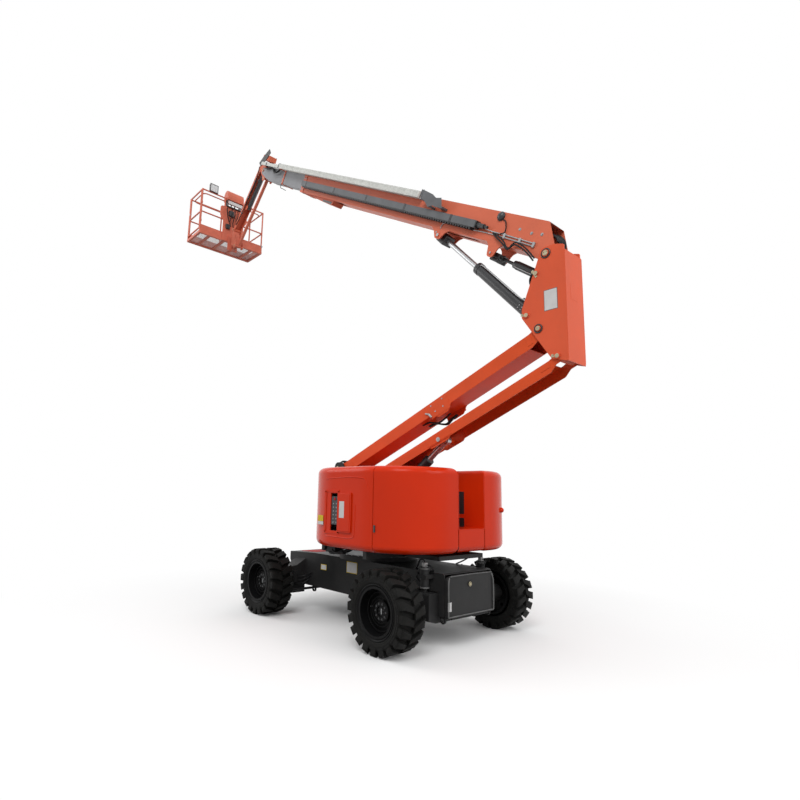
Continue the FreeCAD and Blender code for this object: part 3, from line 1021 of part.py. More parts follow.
# The toe boards stand a little inside the posts' outer line, so that each post is a round bar through them.
toe_x, toe_y = rear_x + size.toe_inset, -half_long + size.toe_inset
for name, x, y, length, width in (
        ("rear", toe_x, toe_y, "toe_wall", "platform_length - 2 * toe_inset"),
        ("front", rear_x + 2 * half_wide - size.toe_inset - size.toe_wall, toe_y, "toe_wall",
         "platform_length - 2 * toe_inset"),
        ("end", toe_x, toe_y, "platform_width - 2 * toe_inset", "toe_wall")):
    rails.append(box("toe_" + name, length, width, "toe_height", place(x, y, floor_z)))
node(fuse("platform_rails", rails))

gate_x = rear_x + rail
gate_y = half_long - rail
gate_end = rear_x + 2 * half_wide - 2 * rail - size.side_gap - rail
sleeve = rail + 7
gate = []
for index, height in enumerate((250, 700)):
    ring = rod("gate_ring_%d" % index, "rail_radius + 7", 44, (gate_x, gate_y, floor_z + height - 22))
    hole = rod("gate_ring_hole_%d" % index, "rail_radius + 0.4", 46, (gate_x, gate_y, floor_z + height - 23))
    gate.append(cut("gate_sleeve_%d" % index, ring, [hole]))
    gate.append(box("gate_leaf_%d" % index, 24, 14, 40,
                    place(gate_x + rail + 3, gate_y - 7, floor_z + height - 20)))
gate_post = gate_x + sleeve + rail + 2
for index, x in enumerate((gate_post, gate_end)):
    gate.append(rod("gate_post_%d" % index, "rail_radius", "rail_height - 60", (x, gate_y, floor_z + 60)))
for index, height in enumerate((60 + rail, size.mid_rail_height, size.rail_height)):
    gate.append(rod("gate_bar_%d" % index, "rail_radius", gate_end - gate_post,
                    (gate_post, gate_y, floor_z + height), (1, 0, 0)))
node(fuse("platform_gate", gate))

console_low = floor_z + 803 + size.seat
node(plate("console", "XZ", [
    (rear_x - 90, console_low, 10), (rear_x + 120, console_low, 15), (rear_x + 140, console_low + 170, 30),
    (rear_x + 100, console_low + 300, 60), (rear_x - 40, console_low + size.console_height, 60),
    (rear_x - 90, console_low + 240, 60)], "console_width", place()))
node(box("work_lamp", 60, 170, 130, place(rear_x + rail - 30, 430, rail_top + rail + size.seat)))

os.makedirs("parts", exist_ok=True)
doc.recompute()
for item in doc.Objects:
    if "Invalid" in item.State or "Error" in item.State:
        raise RuntimeError("object failed: " + item.Label)
for item in nodes:
    shape = item.Shape
    if shape.isNull() or not shape.isValid():
        raise RuntimeError("bad shape: " + item.Label)
for item in nodes:
    item.Shape.exportStep("parts/%s.step" % item.Label)
    print(item.Label, len(item.Shape.Solids), round(item.Shape.Volume / 1e9, 5))
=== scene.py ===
import math
import random

import bmesh
import bpy
from mathutils import Matrix, Vector
from mathutils.bvhtree import BVHTree


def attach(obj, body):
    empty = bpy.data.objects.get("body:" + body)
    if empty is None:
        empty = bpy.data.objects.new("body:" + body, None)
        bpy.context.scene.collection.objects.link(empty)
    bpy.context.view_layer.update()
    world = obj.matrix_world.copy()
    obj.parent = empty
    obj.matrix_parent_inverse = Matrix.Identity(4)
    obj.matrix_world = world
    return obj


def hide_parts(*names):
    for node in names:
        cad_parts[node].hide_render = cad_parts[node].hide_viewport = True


# Looks of the articulating boom lift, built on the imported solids. Lengths are in metres in the row's frame.
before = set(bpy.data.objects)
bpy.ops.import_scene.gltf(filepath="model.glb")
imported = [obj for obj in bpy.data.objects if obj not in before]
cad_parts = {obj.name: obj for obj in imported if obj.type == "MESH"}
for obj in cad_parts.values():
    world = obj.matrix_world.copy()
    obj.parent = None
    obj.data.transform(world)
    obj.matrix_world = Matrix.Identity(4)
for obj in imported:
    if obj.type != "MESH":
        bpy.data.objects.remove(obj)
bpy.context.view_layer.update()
random.seed(7)

# Camera: the photo's own viewing angle.
YAW, PITCH, ROLL = math.radians(-41.05), math.radians(9.09), math.radians(1.37)
ahead = Vector((math.cos(YAW) * math.cos(PITCH), math.sin(YAW) * math.cos(PITCH), math.sin(PITCH)))
right = ahead.cross(Vector((0, 0, 1))).normalized()
up = right.cross(ahead)
cam_x = math.cos(ROLL) * right + math.sin(ROLL) * up
cam_y = -math.sin(ROLL) * right + math.cos(ROLL) * up
cam_data = bpy.data.cameras.new("camera")
cam_data.sensor_width = 36
cam_data.lens = 36 * 528.7 / 800
cam_data.shift_x = (400 - 362.7) / 800
cam_data.shift_y = (410.2 - 400) / 800
cam_data.clip_end = 200
camera = bpy.data.objects.new("camera", cam_data)
bpy.context.scene.collection.objects.link(camera)
camera.matrix_world = Matrix.Translation((-5.697, 5.319, 1.722)) @ Matrix((
    (cam_x.x, cam_y.x, -ahead.x), (cam_x.y, cam_y.y, -ahead.y), (cam_x.z, cam_y.z, -ahead.z))).to_4x4()
bpy.context.scene.camera = camera
bpy.context.scene.view_settings.view_transform = "Standard"


# Materials. Each has its own colour change, roughness change and fine relief.
def material(name, colour, rough=0.5, metal=0.0, spread=0.12, scale=6.0, relief=0.0, relief_scale=120.0,
             coat=0.0, dirt=0.0, dirt_colour=(0.16, 0.13, 0.10), shine=0.15):
    made = bpy.data.materials.new(name)
    made.use_nodes = True
    nodes, links = made.node_tree.nodes, made.node_tree.links
    shader = nodes["Principled BSDF"]
    shader.inputs["Metallic"].default_value = metal
    shader.inputs["Specular IOR Level"].default_value = shine
    shader.inputs["Coat Weight"].default_value = coat
    shader.inputs["Coat Roughness"].default_value = 0.12
    place = nodes.new("ShaderNodeTexCoord")
    cloud = nodes.new("ShaderNodeTexNoise")
    cloud.inputs["Scale"].default_value = scale
    cloud.inputs["Detail"].default_value = 5
    links.new(place.outputs["Object"], cloud.inputs["Vector"])
    ramp = nodes.new("ShaderNodeValToRGB")
    ramp.color_ramp.elements[0].position = 0.3
    ramp.color_ramp.elements[1].position = 0.7
    ramp.color_ramp.elements[0].color = [c * (1 - spread) for c in colour] + [1]
    ramp.color_ramp.elements[1].color = [min(1, c * (1 + spread)) for c in colour] + [1]
    links.new(cloud.outputs["Fac"], ramp.inputs["Fac"])
    last = ramp.outputs["Color"]
    if dirt:
        patch = nodes.new("ShaderNodeTexNoise")
        patch.inputs["Scale"].default_value = scale * 2.7
        patch.inputs["Detail"].default_value = 8
        patch.inputs["Roughness"].default_value = 0.7
        links.new(place.outputs["Object"], patch.inputs["Vector"])
        spots = nodes.new("ShaderNodeMapRange")
        spots.inputs["From Min"].default_value = 0.52
        spots.inputs["From Max"].default_value = 0.78
        spots.inputs["To Max"].default_value = dirt
        links.new(patch.outputs["Fac"], spots.inputs["Value"])
        mix = nodes.new("ShaderNodeMix")
        mix.data_type = "RGBA"
        links.new(spots.outputs["Result"], mix.inputs["Factor"])
        links.new(last, mix.inputs["A"])
        mix.inputs["B"].default_value = (*dirt_colour, 1)
        last = mix.outputs["Result"]
    links.new(last, shader.inputs["Base Color"])
    gloss = nodes.new("ShaderNodeMapRange")
    gloss.inputs["To Min"].default_value = max(0.02, rough - 0.08)
    gloss.inputs["To Max"].default_value = min(1, rough + 0.10)
    links.new(cloud.outputs["Fac"], gloss.inputs["Value"])
    links.new(gloss.outputs["Result"], shader.inputs["Roughness"])
    if relief:
        grain = nodes.new("ShaderNodeTexNoise")
        grain.inputs["Scale"].default_value = relief_scale
        grain.inputs["Detail"].default_value = 4
        links.new(place.outputs["Object"], grain.inputs["Vector"])
        bump = nodes.new("ShaderNodeBump")
        bump.inputs["Strength"].default_value = relief
        bump.inputs["Distance"].default_value = 0.004
        links.new(grain.outputs["Fac"], bump.inputs["Height"])
        links.new(bump.outputs["Normal"], shader.inputs["Normal"])
    return made


M = {
    "hood": material("hood", (0.62, 0.028, 0.003), 0.20, spread=0.05, scale=1.2, relief=0.03, relief_scale=7,
                     coat=0.05, shine=0.12, dirt=0.10, dirt_colour=(0.36, 0.025, 0.006)),
    # link, head, boom and basket are copies of one orange paint, made paler and pinker from part to part: painted
    # light for the glare and haze that wash out the higher parts
    "link": material("link", (0.68, 0.080, 0.018), 0.36, spread=0.07, scale=2.4, relief=0.12, relief_scale=260,
                     dirt=0.14, dirt_colour=(0.36, 0.06, 0.03)),
    "head": material("head", (0.69, 0.104, 0.042), 0.38, spread=0.06, scale=2.2, relief=0.12, relief_scale=260,
                     dirt=0.14, dirt_colour=(0.42, 0.10, 0.06)),
    "boom": material("boom", (0.68, 0.158, 0.086), 0.40, spread=0.06, scale=2.0, relief=0.12, relief_scale=260,
                     dirt=0.16, dirt_colour=(0.40, 0.10, 0.07)),
    "basket": material("basket", (0.62, 0.165, 0.105), 0.42, spread=0.08, scale=9, relief=0.10, relief_scale=260,
                       dirt=0.2, dirt_colour=(0.34, 0.08, 0.06)),
    "grey": material("grey", (0.024, 0.024, 0.0245), 0.40, spread=0.16, scale=3.0, relief=0.12,
                     relief_scale=240, dirt=0.22, dirt_colour=(0.070, 0.062, 0.052)),
    "edge": material("edge", (0.13, 0.13, 0.13), 0.45, spread=0.16, scale=9, relief=0.12, relief_scale=240,
                     dirt=0.2, dirt_colour=(0.06, 0.06, 0.06)),
    "fly": material("fly", (0.28, 0.285, 0.30), 0.46, spread=0.10, scale=3.5, relief=0.12, relief_scale=240,
                    dirt=0.2, dirt_colour=(0.16, 0.155, 0.15)),
    "bar": material("bar", (0.135, 0.140, 0.148), 0.34, spread=0.12, scale=5, relief=0.08, relief_scale=200,
                    dirt=0.2, dirt_colour=(0.07, 0.07, 0.07)),
    "rim": material("rim", (0.0055, 0.0055, 0.0058), 0.34, shine=0.08, spread=0.2, scale=6, relief=0.10, relief_scale=180,
                    dirt=0.18, dirt_colour=(0.026, 0.024, 0.02)),
    "tyre": material("tyre", (0.0085, 0.0085, 0.008), 0.62, shine=0.10, spread=0.25, scale=5, relief=0.35, relief_scale=90,
                     dirt=0.30, dirt_colour=(0.032, 0.029, 0.025)),
    "black": material("black", (0.018, 0.019, 0.021), 0.32, shine=0.5, spread=0.2, scale=8, relief=0.08, relief_scale=200,
                      dirt=0.15, dirt_colour=(0.05, 0.05, 0.05)),
    "hose": material("hose", (0.014, 0.014, 0.015), 0.48, spread=0.2, scale=30, relief=0.2, relief_scale=400),
    "chrome": material("chrome", (0.46, 0.47, 0.48), 0.26, metal=0.85, shine=0.5, spread=0.06, scale=12),
    "steel": material("steel", (0.36, 0.37, 0.375), 0.42, metal=0.6, spread=0.12, scale=14, relief=0.1,
                      relief_scale=300, dirt=0.2, dirt_colour=(0.16, 0.13, 0.10)),
    "brass": material("brass", (0.42, 0.37, 0.25), 0.42, metal=0.55, spread=0.15, scale=20, dirt=0.3),
    "track": material("track", (0.60, 0.61, 0.58), 0.55, metal=0.15, spread=0.10, scale=16, relief=0.3,
                      relief_scale=140, dirt=0.3, dirt_colour=(0.30, 0.30, 0.285)),
    "zinc": material("zinc", (0.50, 0.50, 0.50), 0.50, metal=0.2, spread=0.1, scale=20, dirt=0.2),
    "ballast": material("ballast", (0.035, 0.035, 0.038), 0.62, spread=0.2, scale=5, relief=0.5,
                        relief_scale=60),
    "battery": material("battery", (0.05, 0.05, 0.055), 0.6, spread=0.15, scale=6, relief=0.2),
    "white": material("white", (0.60, 0.60, 0.60), 0.45, spread=0.05, scale=12, dirt=0.15,
                      dirt_colour=(0.40, 0.38, 0.36)),
    "yellow": material("yellow", (0.62, 0.44, 0.03), 0.45, spread=0.06, scale=12),
    "red": material("red", (0.38, 0.020, 0.020), 0.6, spread=0.15, scale=12, relief=0.5, relief_scale=300),
    "lens": material("lens", (0.62, 0.64, 0.65), 0.14, shine=0.5, spread=0.03, scale=20, coat=0.6),
}
LOOKS = (
    ("tyre", ("tyre_fl", "tyre_fr", "tyre_rl", "tyre_rr")),
    ("rim", ("rim_fl", "rim_fr", "rim_rl", "rim_rr")),
    ("grey", ("chassis_frame", "rear_axle", "front_axle", "steer_knuckle_left", "steer_knuckle_right",
              "steering_rod", "rear_cover", "turntable_frame", "axle_lock_cylinders")),
    ("steel", ("slew_bearing",)),
    ("battery", ("battery_pack",)),
    ("hood", ("counterweight", "hood_front_left", "hood_front_right", "hood_door_left", "hood_door_right", "tail_channel",
              "control_lid")),
    ("link", ("upper_link", "lower_link")),
    ("head", ("tower_head",)),
    ("boom", ("boom_outer", "carrier_bracket", "tip_bracket", "jib_upper_arm")),
    ("basket", ("jib_lower_arm", "platform_mount", "platform_support", "floor_frame", "platform_rails",
                "platform_gate", "console")),
    ("black", ("ground_control", "riser_cylinder_barrel", "lift_cylinder_barrel", "level_cylinder_barrel",
               "jib_cylinder_barrel", "tip_lever", "level_cylinder_rod")),
    ("bar", ("boom_guide_tube", "track_guide")),
    ("chrome", ("riser_cylinder_rod", "lift_cylinder_rod", "jib_cylinder_rod")),
    ("fly", ("boom_fly",)),
    ("track", ("cable_carrier", "fly_conduit")),
    ("zinc", ("floor_grating", "work_lamp")),
)
for look, names in LOOKS:
    for name in names:
        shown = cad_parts[name]
        shown.data.materials.clear()
        shown.data.materials.append(M[look])


# Mesh code for the pieces that are added.
class Build:
    """Collects simple forms in one mesh, in the row's frame."""

    def __init__(self, spot=None):
        self.mesh = bmesh.new()
        self.spot = spot or Matrix.Identity(4)

    def block(self, low, high, turn=None):
        """A box between two corners, in this build's own frame."""
        low, high = Vector(low), Vector(high)
        middle = (low + high) / 2
        matrix = self.spot @ Matrix.Translation(middle) @ (turn or Matrix.Identity(4)) @ Matrix.Diagonal(
            (*(high - low), 1))
        bmesh.ops.create_cube(self.mesh, size=1, matrix=matrix)

    def round_bar(self, start, end, radius, sides=16, far_radius=None):
        start, end = self.spot @ Vector(start), self.spot @ Vector(end)
        run = end - start
        matrix = Matrix.Translation((start + end) / 2) @ run.to_track_quat("Z", "Y").to_matrix().to_4x4()
        bmesh.ops.create_cone(self.mesh, cap_ends=True, cap_tris=False, segments=sides, radius1=radius,
                              radius2=radius if far_radius is None else far_radius, depth=run.length,
                              matrix=matrix)

    def ball(self, centre, radius, flat=1.0):
        matrix = self.spot @ Matrix.Translation(centre) @ Matrix.Diagonal((1, flat, 1, 1))
        bmesh.ops.create_uvsphere(self.mesh, u_segments=20, v_segments=12, radius=radius, matrix=matrix)

    def ring(self, centre, axis, radius, thick, sides=32):
        """A plain ring round an axis."""
        points = []
        middle = self.spot @ Vector(centre)
        along = (self.spot.to_3x3() @ Vector(axis)).normalized()
        side = along.orthogonal().normalized()
        for step in range(sides):
            points.append(middle + Matrix.Rotation(2 * math.pi * step / sides, 3, along) @ side * radius)
        self.sweep(points, thick, 8, closed=True)

    def tube(self, points, radius, sides=10, steps=8):
        """A smooth hose or pipe through these points."""
        track = [self.spot @ Vector(p) for p in points]
        line = []
        count = len(track)
        for i in range(count - 1):
            a = track[max(i - 1, 0)]
            b, c = track[i], track[i + 1]
            d = track[min(i + 2, count - 1)]
            for step in range(steps):
                t = step / steps
                line.append(0.5 * ((2 * b) + (c - a) * t + (2 * a - 5 * b + 4 * c - d) * t * t
                                   + (3 * b - a - 3 * c + d) * t ** 3))
        line.append(track[-1])
        self.sweep(line, radius, sides)

    def sweep(self, line, radius, sides, closed=False):
        rings = []
        count = len(line)
        last = None
        for i, point in enumerate(line):
            ahead_of = line[(i + 1) % count] if closed or i < count - 1 else line[i]
            behind = line[i - 1] if closed or i else line[i]
            along = (ahead_of - behind).normalized()
            side = along.orthogonal().normalized() if last is None else (last - along * last.dot(along)).normalized()
            last = side
            other = along.cross(side)
            rings.append([self.mesh.verts.new(point + radius * (
                math.cos(2 * math.pi * k / sides) * side + math.sin(2 * math.pi * k / sides) * other))
                for k in range(sides)])
        pairs = list(zip(rings, rings[1:]))
        if closed:
            best = min(range(sides), key=lambda k: (rings[0][k].co - rings[-1][0].co).length)
            pairs.append((rings[-1], rings[0][best:] + rings[0][:best]))
        for first, second in pairs:
            for k in range(sides):
                self.mesh.faces.new((first[k], first[(k + 1) % sides], second[(k + 1) % sides], second[k]))
        if not closed:
            self.mesh.faces.new(list(reversed(rings[0])))
            self.mesh.faces.new(rings[-1])

    def lathe(self, profile, sides=64):
        """Turns a closed profile of (radius, y) points about this build's own Y axis."""
        rings = []
        for step in range(sides):
            angle = 2 * math.pi * step / sides
            rings.append([self.mesh.verts.new(self.spot @ Vector((r * math.cos(angle), y, r * math.sin(angle))))
                          for r, y in profile])
        for step in range(sides):
            first, second = rings[step], rings[(step + 1) % sides]
            for k in range(len(profile)):
                self.mesh.faces.new((first[k], first[k - 1], second[k - 1], second[k]))

    def strip(self, stations):
        """Joins a row of closed rings of points into one solid with two ends."""
        rings = [[self.mesh.verts.new(self.spot @ Vector(p)) for p in ring] for ring in stations]
        count = len(rings[0])
        for first, second in zip(rings, rings[1:]):
            for k in range(count):
                self.mesh.faces.new((first[k], first[(k + 1) % count], second[(k + 1) % count], second[k]))
        self.mesh.faces.new(list(reversed(rings[0])))
        self.mesh.faces.new(rings[-1])

    def plate(self, outline, low_y, high_y):
        """A plate with an outline of (x, z) points between two values of y."""
        self.strip([[(x, y, z) for x, z in outline] for y in (low_y, high_y)])

    def bolt(self, centre, axis, size=0.012, washer=True):
        """A hexagon head with its washer, standing out along axis."""
        along = Vector(axis).normalized()
        if washer:
            self.round_bar(Vector(centre) - along * 0.001, Vector(centre) + along * 0.002, size * 1.45, 16)
        self.round_bar(centre, Vector(centre) + along * size * 0.8, size, 6)

    def done(self, name, look, body, bevel=0.0):
        data = bpy.data.meshes.new(name)
        bmesh.ops.recalc_face_normals(self.mesh, faces=self.mesh.faces)
        self.mesh.to_mesh(data)
        self.mesh.free()
        made = bpy.data.objects.new(name, data)
        bpy.context.scene.collection.objects.link(made)
        data.materials.append(M[look])
        for face in data.polygons:
            face.use_smooth = True
        data.set_sharp_from_angle(angle=math.radians(40))
        if bevel:
            soft = made.modifiers.new("edge", "BEVEL")
            soft.width = bevel
            soft.segments = 2
            soft.limit_method = "ANGLE"
            soft.angle_limit = math.radians(50)
            soft.harden_normals = True
        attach(made, body)
        return made


def frame_at(x, z, angle, y=0.0):
    """Matrix of a member's own frame: raised by angle in the XZ plane about a point."""
    return Matrix.Translation((x, y, z)) @ Matrix.Rotation(-math.radians(angle), 4, "Y")


UPPER = frame_at(0.735, 2.126, -22.8)
LOWER = frame_at(0.521, 1.777, -22.8)
BOOM = frame_at(-2.8390, 4.4242, 31.1)
TIP = Vector((3.88735, 0, 8.90687))
JIB = frame_at(TIP.x, TIP.z, -44.5)
LIFT = frame_at(-2.5820, 3.7662, 47.96)
LEVEL = frame_at(-2.7150, 4.2262, 37.2)
RISER = frame_at(0.100, 1.350, 141.17)
HEAD_Y, LINK_Y, BOOM_Y = 0.186, 0.160, 0.155
WHEEL_X, WHEEL_Y, WHEEL_Z = 1.26, 1.055, 0.457

def ring_points(radius, y, sides=48):
    return [(radius * math.cos(2 * math.pi * k / sides), y, radius * math.sin(2 * math.pi * k / sides))
            for k in range(sides)]


# Wheels: treaded tyres in place of the plain ones, rim flanges, nuts, hub marks and valves.
CARCASS = ((0.298, 0.128), (0.300, 0.150), (0.312, 0.163), (0.345, 0.172), (0.378, 0.172), (0.396, 0.160),
           (0.407, 0.140), (0.412, 0.110), (0.414, 0.0))
LUG = ((0.1715, 0.360, 0.378, 0.0, 0.100), (0.1775, 0.372, 0.420, 0.0, 0.102), (0.1765, 0.385, 0.446, 0.0, 0.102),
       (0.1640, 0.392, 0.4555, 0.002, 0.100), (0.1250, 0.402, 0.4570, 0.024, 0.092),
       (0.0600, 0.406, 0.4570, 0.085, 0.078), (0.0100, 0.406, 0.4565, 0.135, 0.070))
for tag, body, end, side in (("fl", "wheel_front_left", 1, 1), ("fr", "wheel_front_right", 1, -1),
                             ("rl", "wheel_rear_left", -1, 1), ("rr", "wheel_rear_right", -1, -1)):
    spot = Matrix.Translation((end * WHEEL_X, side * WHEEL_Y, WHEEL_Z)) @ Matrix.Rotation(
        0 if side > 0 else math.pi, 4, "Z")
    tread = Build(spot)
    half = [(r, y) for r, y in CARCASS]
    tread.lathe(half + [(r, -y) for r, y in reversed(half[:-1])], 72)
    for flip in (1, -1):
        for index in range(20):
            start = 2 * math.pi * (index + (0.5 if flip < 0 else 0)) / 20
            stations = []
            for y, low, high, turn, wide in LUG:
                angle = start + turn
                stations.append([(radius * math.cos(angle + part * wide), flip * y,
                                  radius * math.sin(angle + part * wide))
                                 for radius, part in ((low, -1.1), (high, -1), (high, 1), (low, 1.1))])
            tread.strip(stations)
    tyre = tread.done("tread_" + tag, "tyre", body, 0.004)
    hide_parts("tyre_" + tag)
    wall = Build(spot)
    for radius in (0.322, 0.352):
        wall.ring((0, 0.1665 if radius < 0.33 else 0.1725, 0), (0, 1, 0), radius, 0.0025, 64)
    wall.done("sidewall_rings_" + tag, "tyre", body)
    flange = Build(spot)
    flange.lathe([(0.270, 0.136), (0.284, 0.158), (0.292, 0.163), (0.301, 0.160), (0.301, 0.150), (0.288, 0.146)])
    for radius, y in ((0.205, 0.072), (0.158, 0.066), (0.122, 0.070)):
        flange.ring((0, y, 0), (0, 1, 0), radius, 0.0045, 64)
    flange.lathe([(0.110, 0.008), (0.262, 0.008), (0.262, 0.012), (0.110, 0.012)])
    flange.done("rim_rings_" + tag, "rim", body)
    nuts = Build(spot)
    for index in range(10):
        angle = 2 * math.pi * index / 10
        x, z = 0.082 * math.cos(angle), 0.082 * math.sin(angle)
        nuts.bolt((x, 0.064, z), (0, 1, 0), 0.012)
    for index in range(6):
        angle = 2 * math.pi * (index + 0.5) / 6
        nuts.bolt((0.036 * math.cos(angle), 0.056, 0.036 * math.sin(angle)), (0, 1, 0), 0.006, False)
    nuts.done("wheel_nuts_" + tag, "black", body, 0.0012)
    cap = Build(spot)
    cap.block((-0.006, 0.056, -0.030), (0.006, 0.060, 0.030))
    cap.round_bar((0.205, -0.026, 0.02), (0.205, 0.03, 0.02), 0.006, 10)
    cap.done("hub_mark_" + tag, "steel", body, 0.001)

# Chassis: bare plates, bolts of the ring, lock cylinder caps, hoses, cover border.
plates = Build()
edges = Build()
for low_x, high_x, low_z, high_z in ((0.612, 0.746, 0.625, 0.703), (-0.069, 0.155, 0.653, 0.805)):
    for side in (1, -1):
        low_y, high_y = sorted((side * 0.4500, side * 0.4512))
        edges.block((low_x, low_y, low_z), (high_x, high_y, high_z))
        low_y, high_y = sorted((side * 0.4512, side * 0.4522))
        plates.block((low_x + 0.008, low_y, low_z + 0.008), (high_x - 0.008, high_y, high_z - 0.008))
plates.done("bare_plates", "white", "chassis", 0.0005)
edges.done("plate_edges", "yellow", "chassis", 0.0005)
plates = Build()
plates.block((-1.6505, 0.380, 0.434), (-1.6475, 0.442, 0.534))
plates.done("cover_plate", "white", "tail_cover", 0.0006)
ring_bolts = Build()
for index in range(30):
    angle = 2 * math.pi * index / 30
    ring_bolts.bolt((0.485 * math.cos(angle), 0.485 * math.sin(angle), 0.974), (0, 0, -1), 0.011)
    ring_bolts.bolt((0.535 * math.cos(angle), 0.535 * math.sin(angle), 0.905), (0, 0, 1), 0.010)
ring_bolts.done("ring_bolts", "steel", "chassis")
patch = Build()
patch.plate([(1.02, 0.8400), (1.45, 0.8205), (1.45, 0.8240), (1.02, 0.8435)], -0.23, 0.33)
patch.done("step_patch", "red", "chassis", 0.0005)
# The cover border tubes use the pale edge grey: a raised border whose paleness is also a painted highlight along the
# cover's curved edges
border = Build()
for y in (-0.430, 0.430):
    border.tube([(-1.645, y, 0.372), (-1.648, y, 0.50), (-1.647, y, 0.66), (-1.643, y * 0.985, 0.745),
                 (-1.634, y * 0.93, 0.800)], 0.009, 10)
border.tube([(-1.640, -0.400, 0.812), (-1.640, 0, 0.818), (-1.640, 0.400, 0.812)], 0.006, 8)
border.tube([(-1.645, -0.430, 0.368), (-1.645, 0.430, 0.368)], 0.008, 8)
border.done("cover_border", "edge", "tail_cover")
latch = Build()
latch.ring((-1.6500, 0.035, 0.707), (1, 0, 0), 0.024, 0.004)
latch.round_bar((-1.645, 0.035, 0.707), (-1.654, 0.035, 0.707), 0.016, 20)
latch.done("cover_latch_ring", "brass", "tail_cover")
caps = Build()
zincs = Build()
lines = Build()
for side in (1, -1):
    y = side * 0.54
    caps.round_bar((-1.38, y, 0.668), (-1.38, y, 0.684), 0.056, 24)
    caps.round_bar((-1.38, y, 0.880), (-1.38, y, 0.900), 0.057, 24)
    zincs.block((-1.405, y - 0.025, 0.908), (-1.355, y + 0.025, 0.955))
    zincs.round_bar((-1.405, y, 0.930), (-1.428, y, 0.930), 0.012, 6)
    lines.tube([(-1.425, y, 0.930), (-1.455, y, 0.925), (-1.47, y - side * 0.04, 0.89),
                (-1.45, side * 0.47, 0.86), (-1.38, side * 0.44, 0.850)], 0.009)
    lines.tube([(-1.38, y, 0.955), (-1.36, y, 0.985), (-1.28, y - side * 0.03, 0.975),
                (-1.18, side * 0.44, 0.90), (-1.10, side * 0.38, 0.852)], 0.009)
    lines.tube([(-1.30, y - side * 0.02, 0.72), (-1.24, y - side * 0.02, 0.76), (-1.20, side * 0.46, 0.80),
                (-1.16, side * 0.42, 0.851)], 0.009)
zincs.done("lock_blocks", "zinc", "chassis", 0.003)
caps.done("lock_caps", "edge", "chassis", 0.002)
for side in (1, -1):
    for index in range(3):
        z = 0.36 + 0.05 * index
        lines.tube([(1.02 - 0.03 * index, side * 0.452, z + 0.10), (1.06, side * 0.50, z + 0.05),
                    (1.10, side * 0.58, z + 0.03), (1.125, side * 0.66, z + 0.06),
                    (1.128, side * 0.69, z + 0.10)], 0.010)
    lines.tube([(-1.0, side * 0.45, 0.66), (-0.96, side * 0.52, 0.62), (-0.97, side * 0.62, 0.58),
                (-1.08, side * 0.68, 0.565), (-1.15, side * 0.70, 0.55)], 0.010)
lines.done("chassis_hoses", "hose", "chassis")
ports = Build()
for side in (1, -1):
    ports.block((1.09, side * 0.655 - 0.03, 0.42), (1.142, side * 0.655 + 0.03, 0.58))
    for index in range(8):
        angle = 2 * math.pi * index / 8 + 0.2
        ports.bolt((-1.26 + 0.098 * math.cos(angle), side * 0.602, 0.457 + 0.098 * math.sin(angle)),
                   (0, side, 0), 0.009)
ports.done("axle_ports", "grey", "chassis", 0.003)

# Turntable: raised lines and ledge of the hood, panel of the ground controls, bare plates, brackets.
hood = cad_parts["hood_front_left"]
hood_mesh = bmesh.new()
hood_mesh.from_mesh(hood.data)
hood_mesh.transform(hood.matrix_world)
hood_tree = BVHTree.FromBMesh(hood_mesh)


def hood_line(points, steps=10):
    """Lays a smooth line of (x, z) points on the outside of the left hood."""
    line = []
    count = len(points)
    flat = [Vector((x, z)) for x, z in points]
    for i in range(count - 1):
        a, b, c, d = flat[max(i - 1, 0)], flat[i], flat[i + 1], flat[min(i + 2, count - 1)]
        for step in range(steps + (i == count - 2)):
            t = step / steps
            spot = 0.5 * (2 * b + (c - a) * t + (2 * a - 5 * b + 4 * c - d) * t * t + (3 * b - a - 3 * c + d) * t ** 3)
            hit = hood_tree.ray_cast(Vector((spot.x, 1.5, spot.y)), Vector((0, -1, 0)))[0]
            if hit and hit.y > 1.0:
                line.append(hit)
    return line


bead = Build()
bead.sweep(hood_line([(-0.232, 1.905), (-0.282, 1.918), (-0.677, 1.932), (-0.935, 1.918), (-0.985, 1.890),
                      (-1.030, 1.790)]), 0.0055, 8)
bead.sweep(hood_line([(-0.232, 1.205), (-0.322, 1.205), (-0.709, 1.205), (-0.799, 1.239), (-0.813, 1.343),
                      (-0.815, 1.60)]), 0.0055, 8)
bead.block((-0.508, 1.150, 1.252), (-0.482, 1.1535, 1.758))
bead.block((-0.251, 1.150, 1.252), (-0.218, 1.1535, 1.758))
bead.block((-0.508, 1.150, 1.235), (-0.218, 1.1535, 1.262))
bead.block((-0.508, 1.150, 1.748), (-0.218, 1.1535, 1.775))
bead.block((-0.335, 1.1325, 1.262), (-0.251, 1.1475, 1.748))
bead.done("hood_lines", "hood", "turntable", 0.002)
door_mesh = bmesh.new()
door_mesh.from_mesh(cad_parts["hood_door_left"].data)
door_mesh.transform(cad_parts["hood_door_left"].matrix_world)
door_tree = BVHTree.FromBMesh(door_mesh)
rear_line = []
for step in range(25):
    z = 1.0665 + 0.2685 * step / 24
    hit = door_tree.ray_cast(Vector((-2, 0.300, z)), Vector((1, 0, 0)))[0]
    if hit and hit.x < -1.5:
        rear_line.append((hit.x, z))
skirt = Build()
skirt.plate(rear_line + [(x + 0.005, z) for x, z in reversed(rear_line)], -0.2460, 0.2460)
skirt.done("rear_skirt", "hood", "turntable", 0.002)
ballast = Build()
ballast.mesh.from_mesh(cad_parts["counterweight"].data)
ballast.mesh.transform(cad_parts["counterweight"].matrix_world)
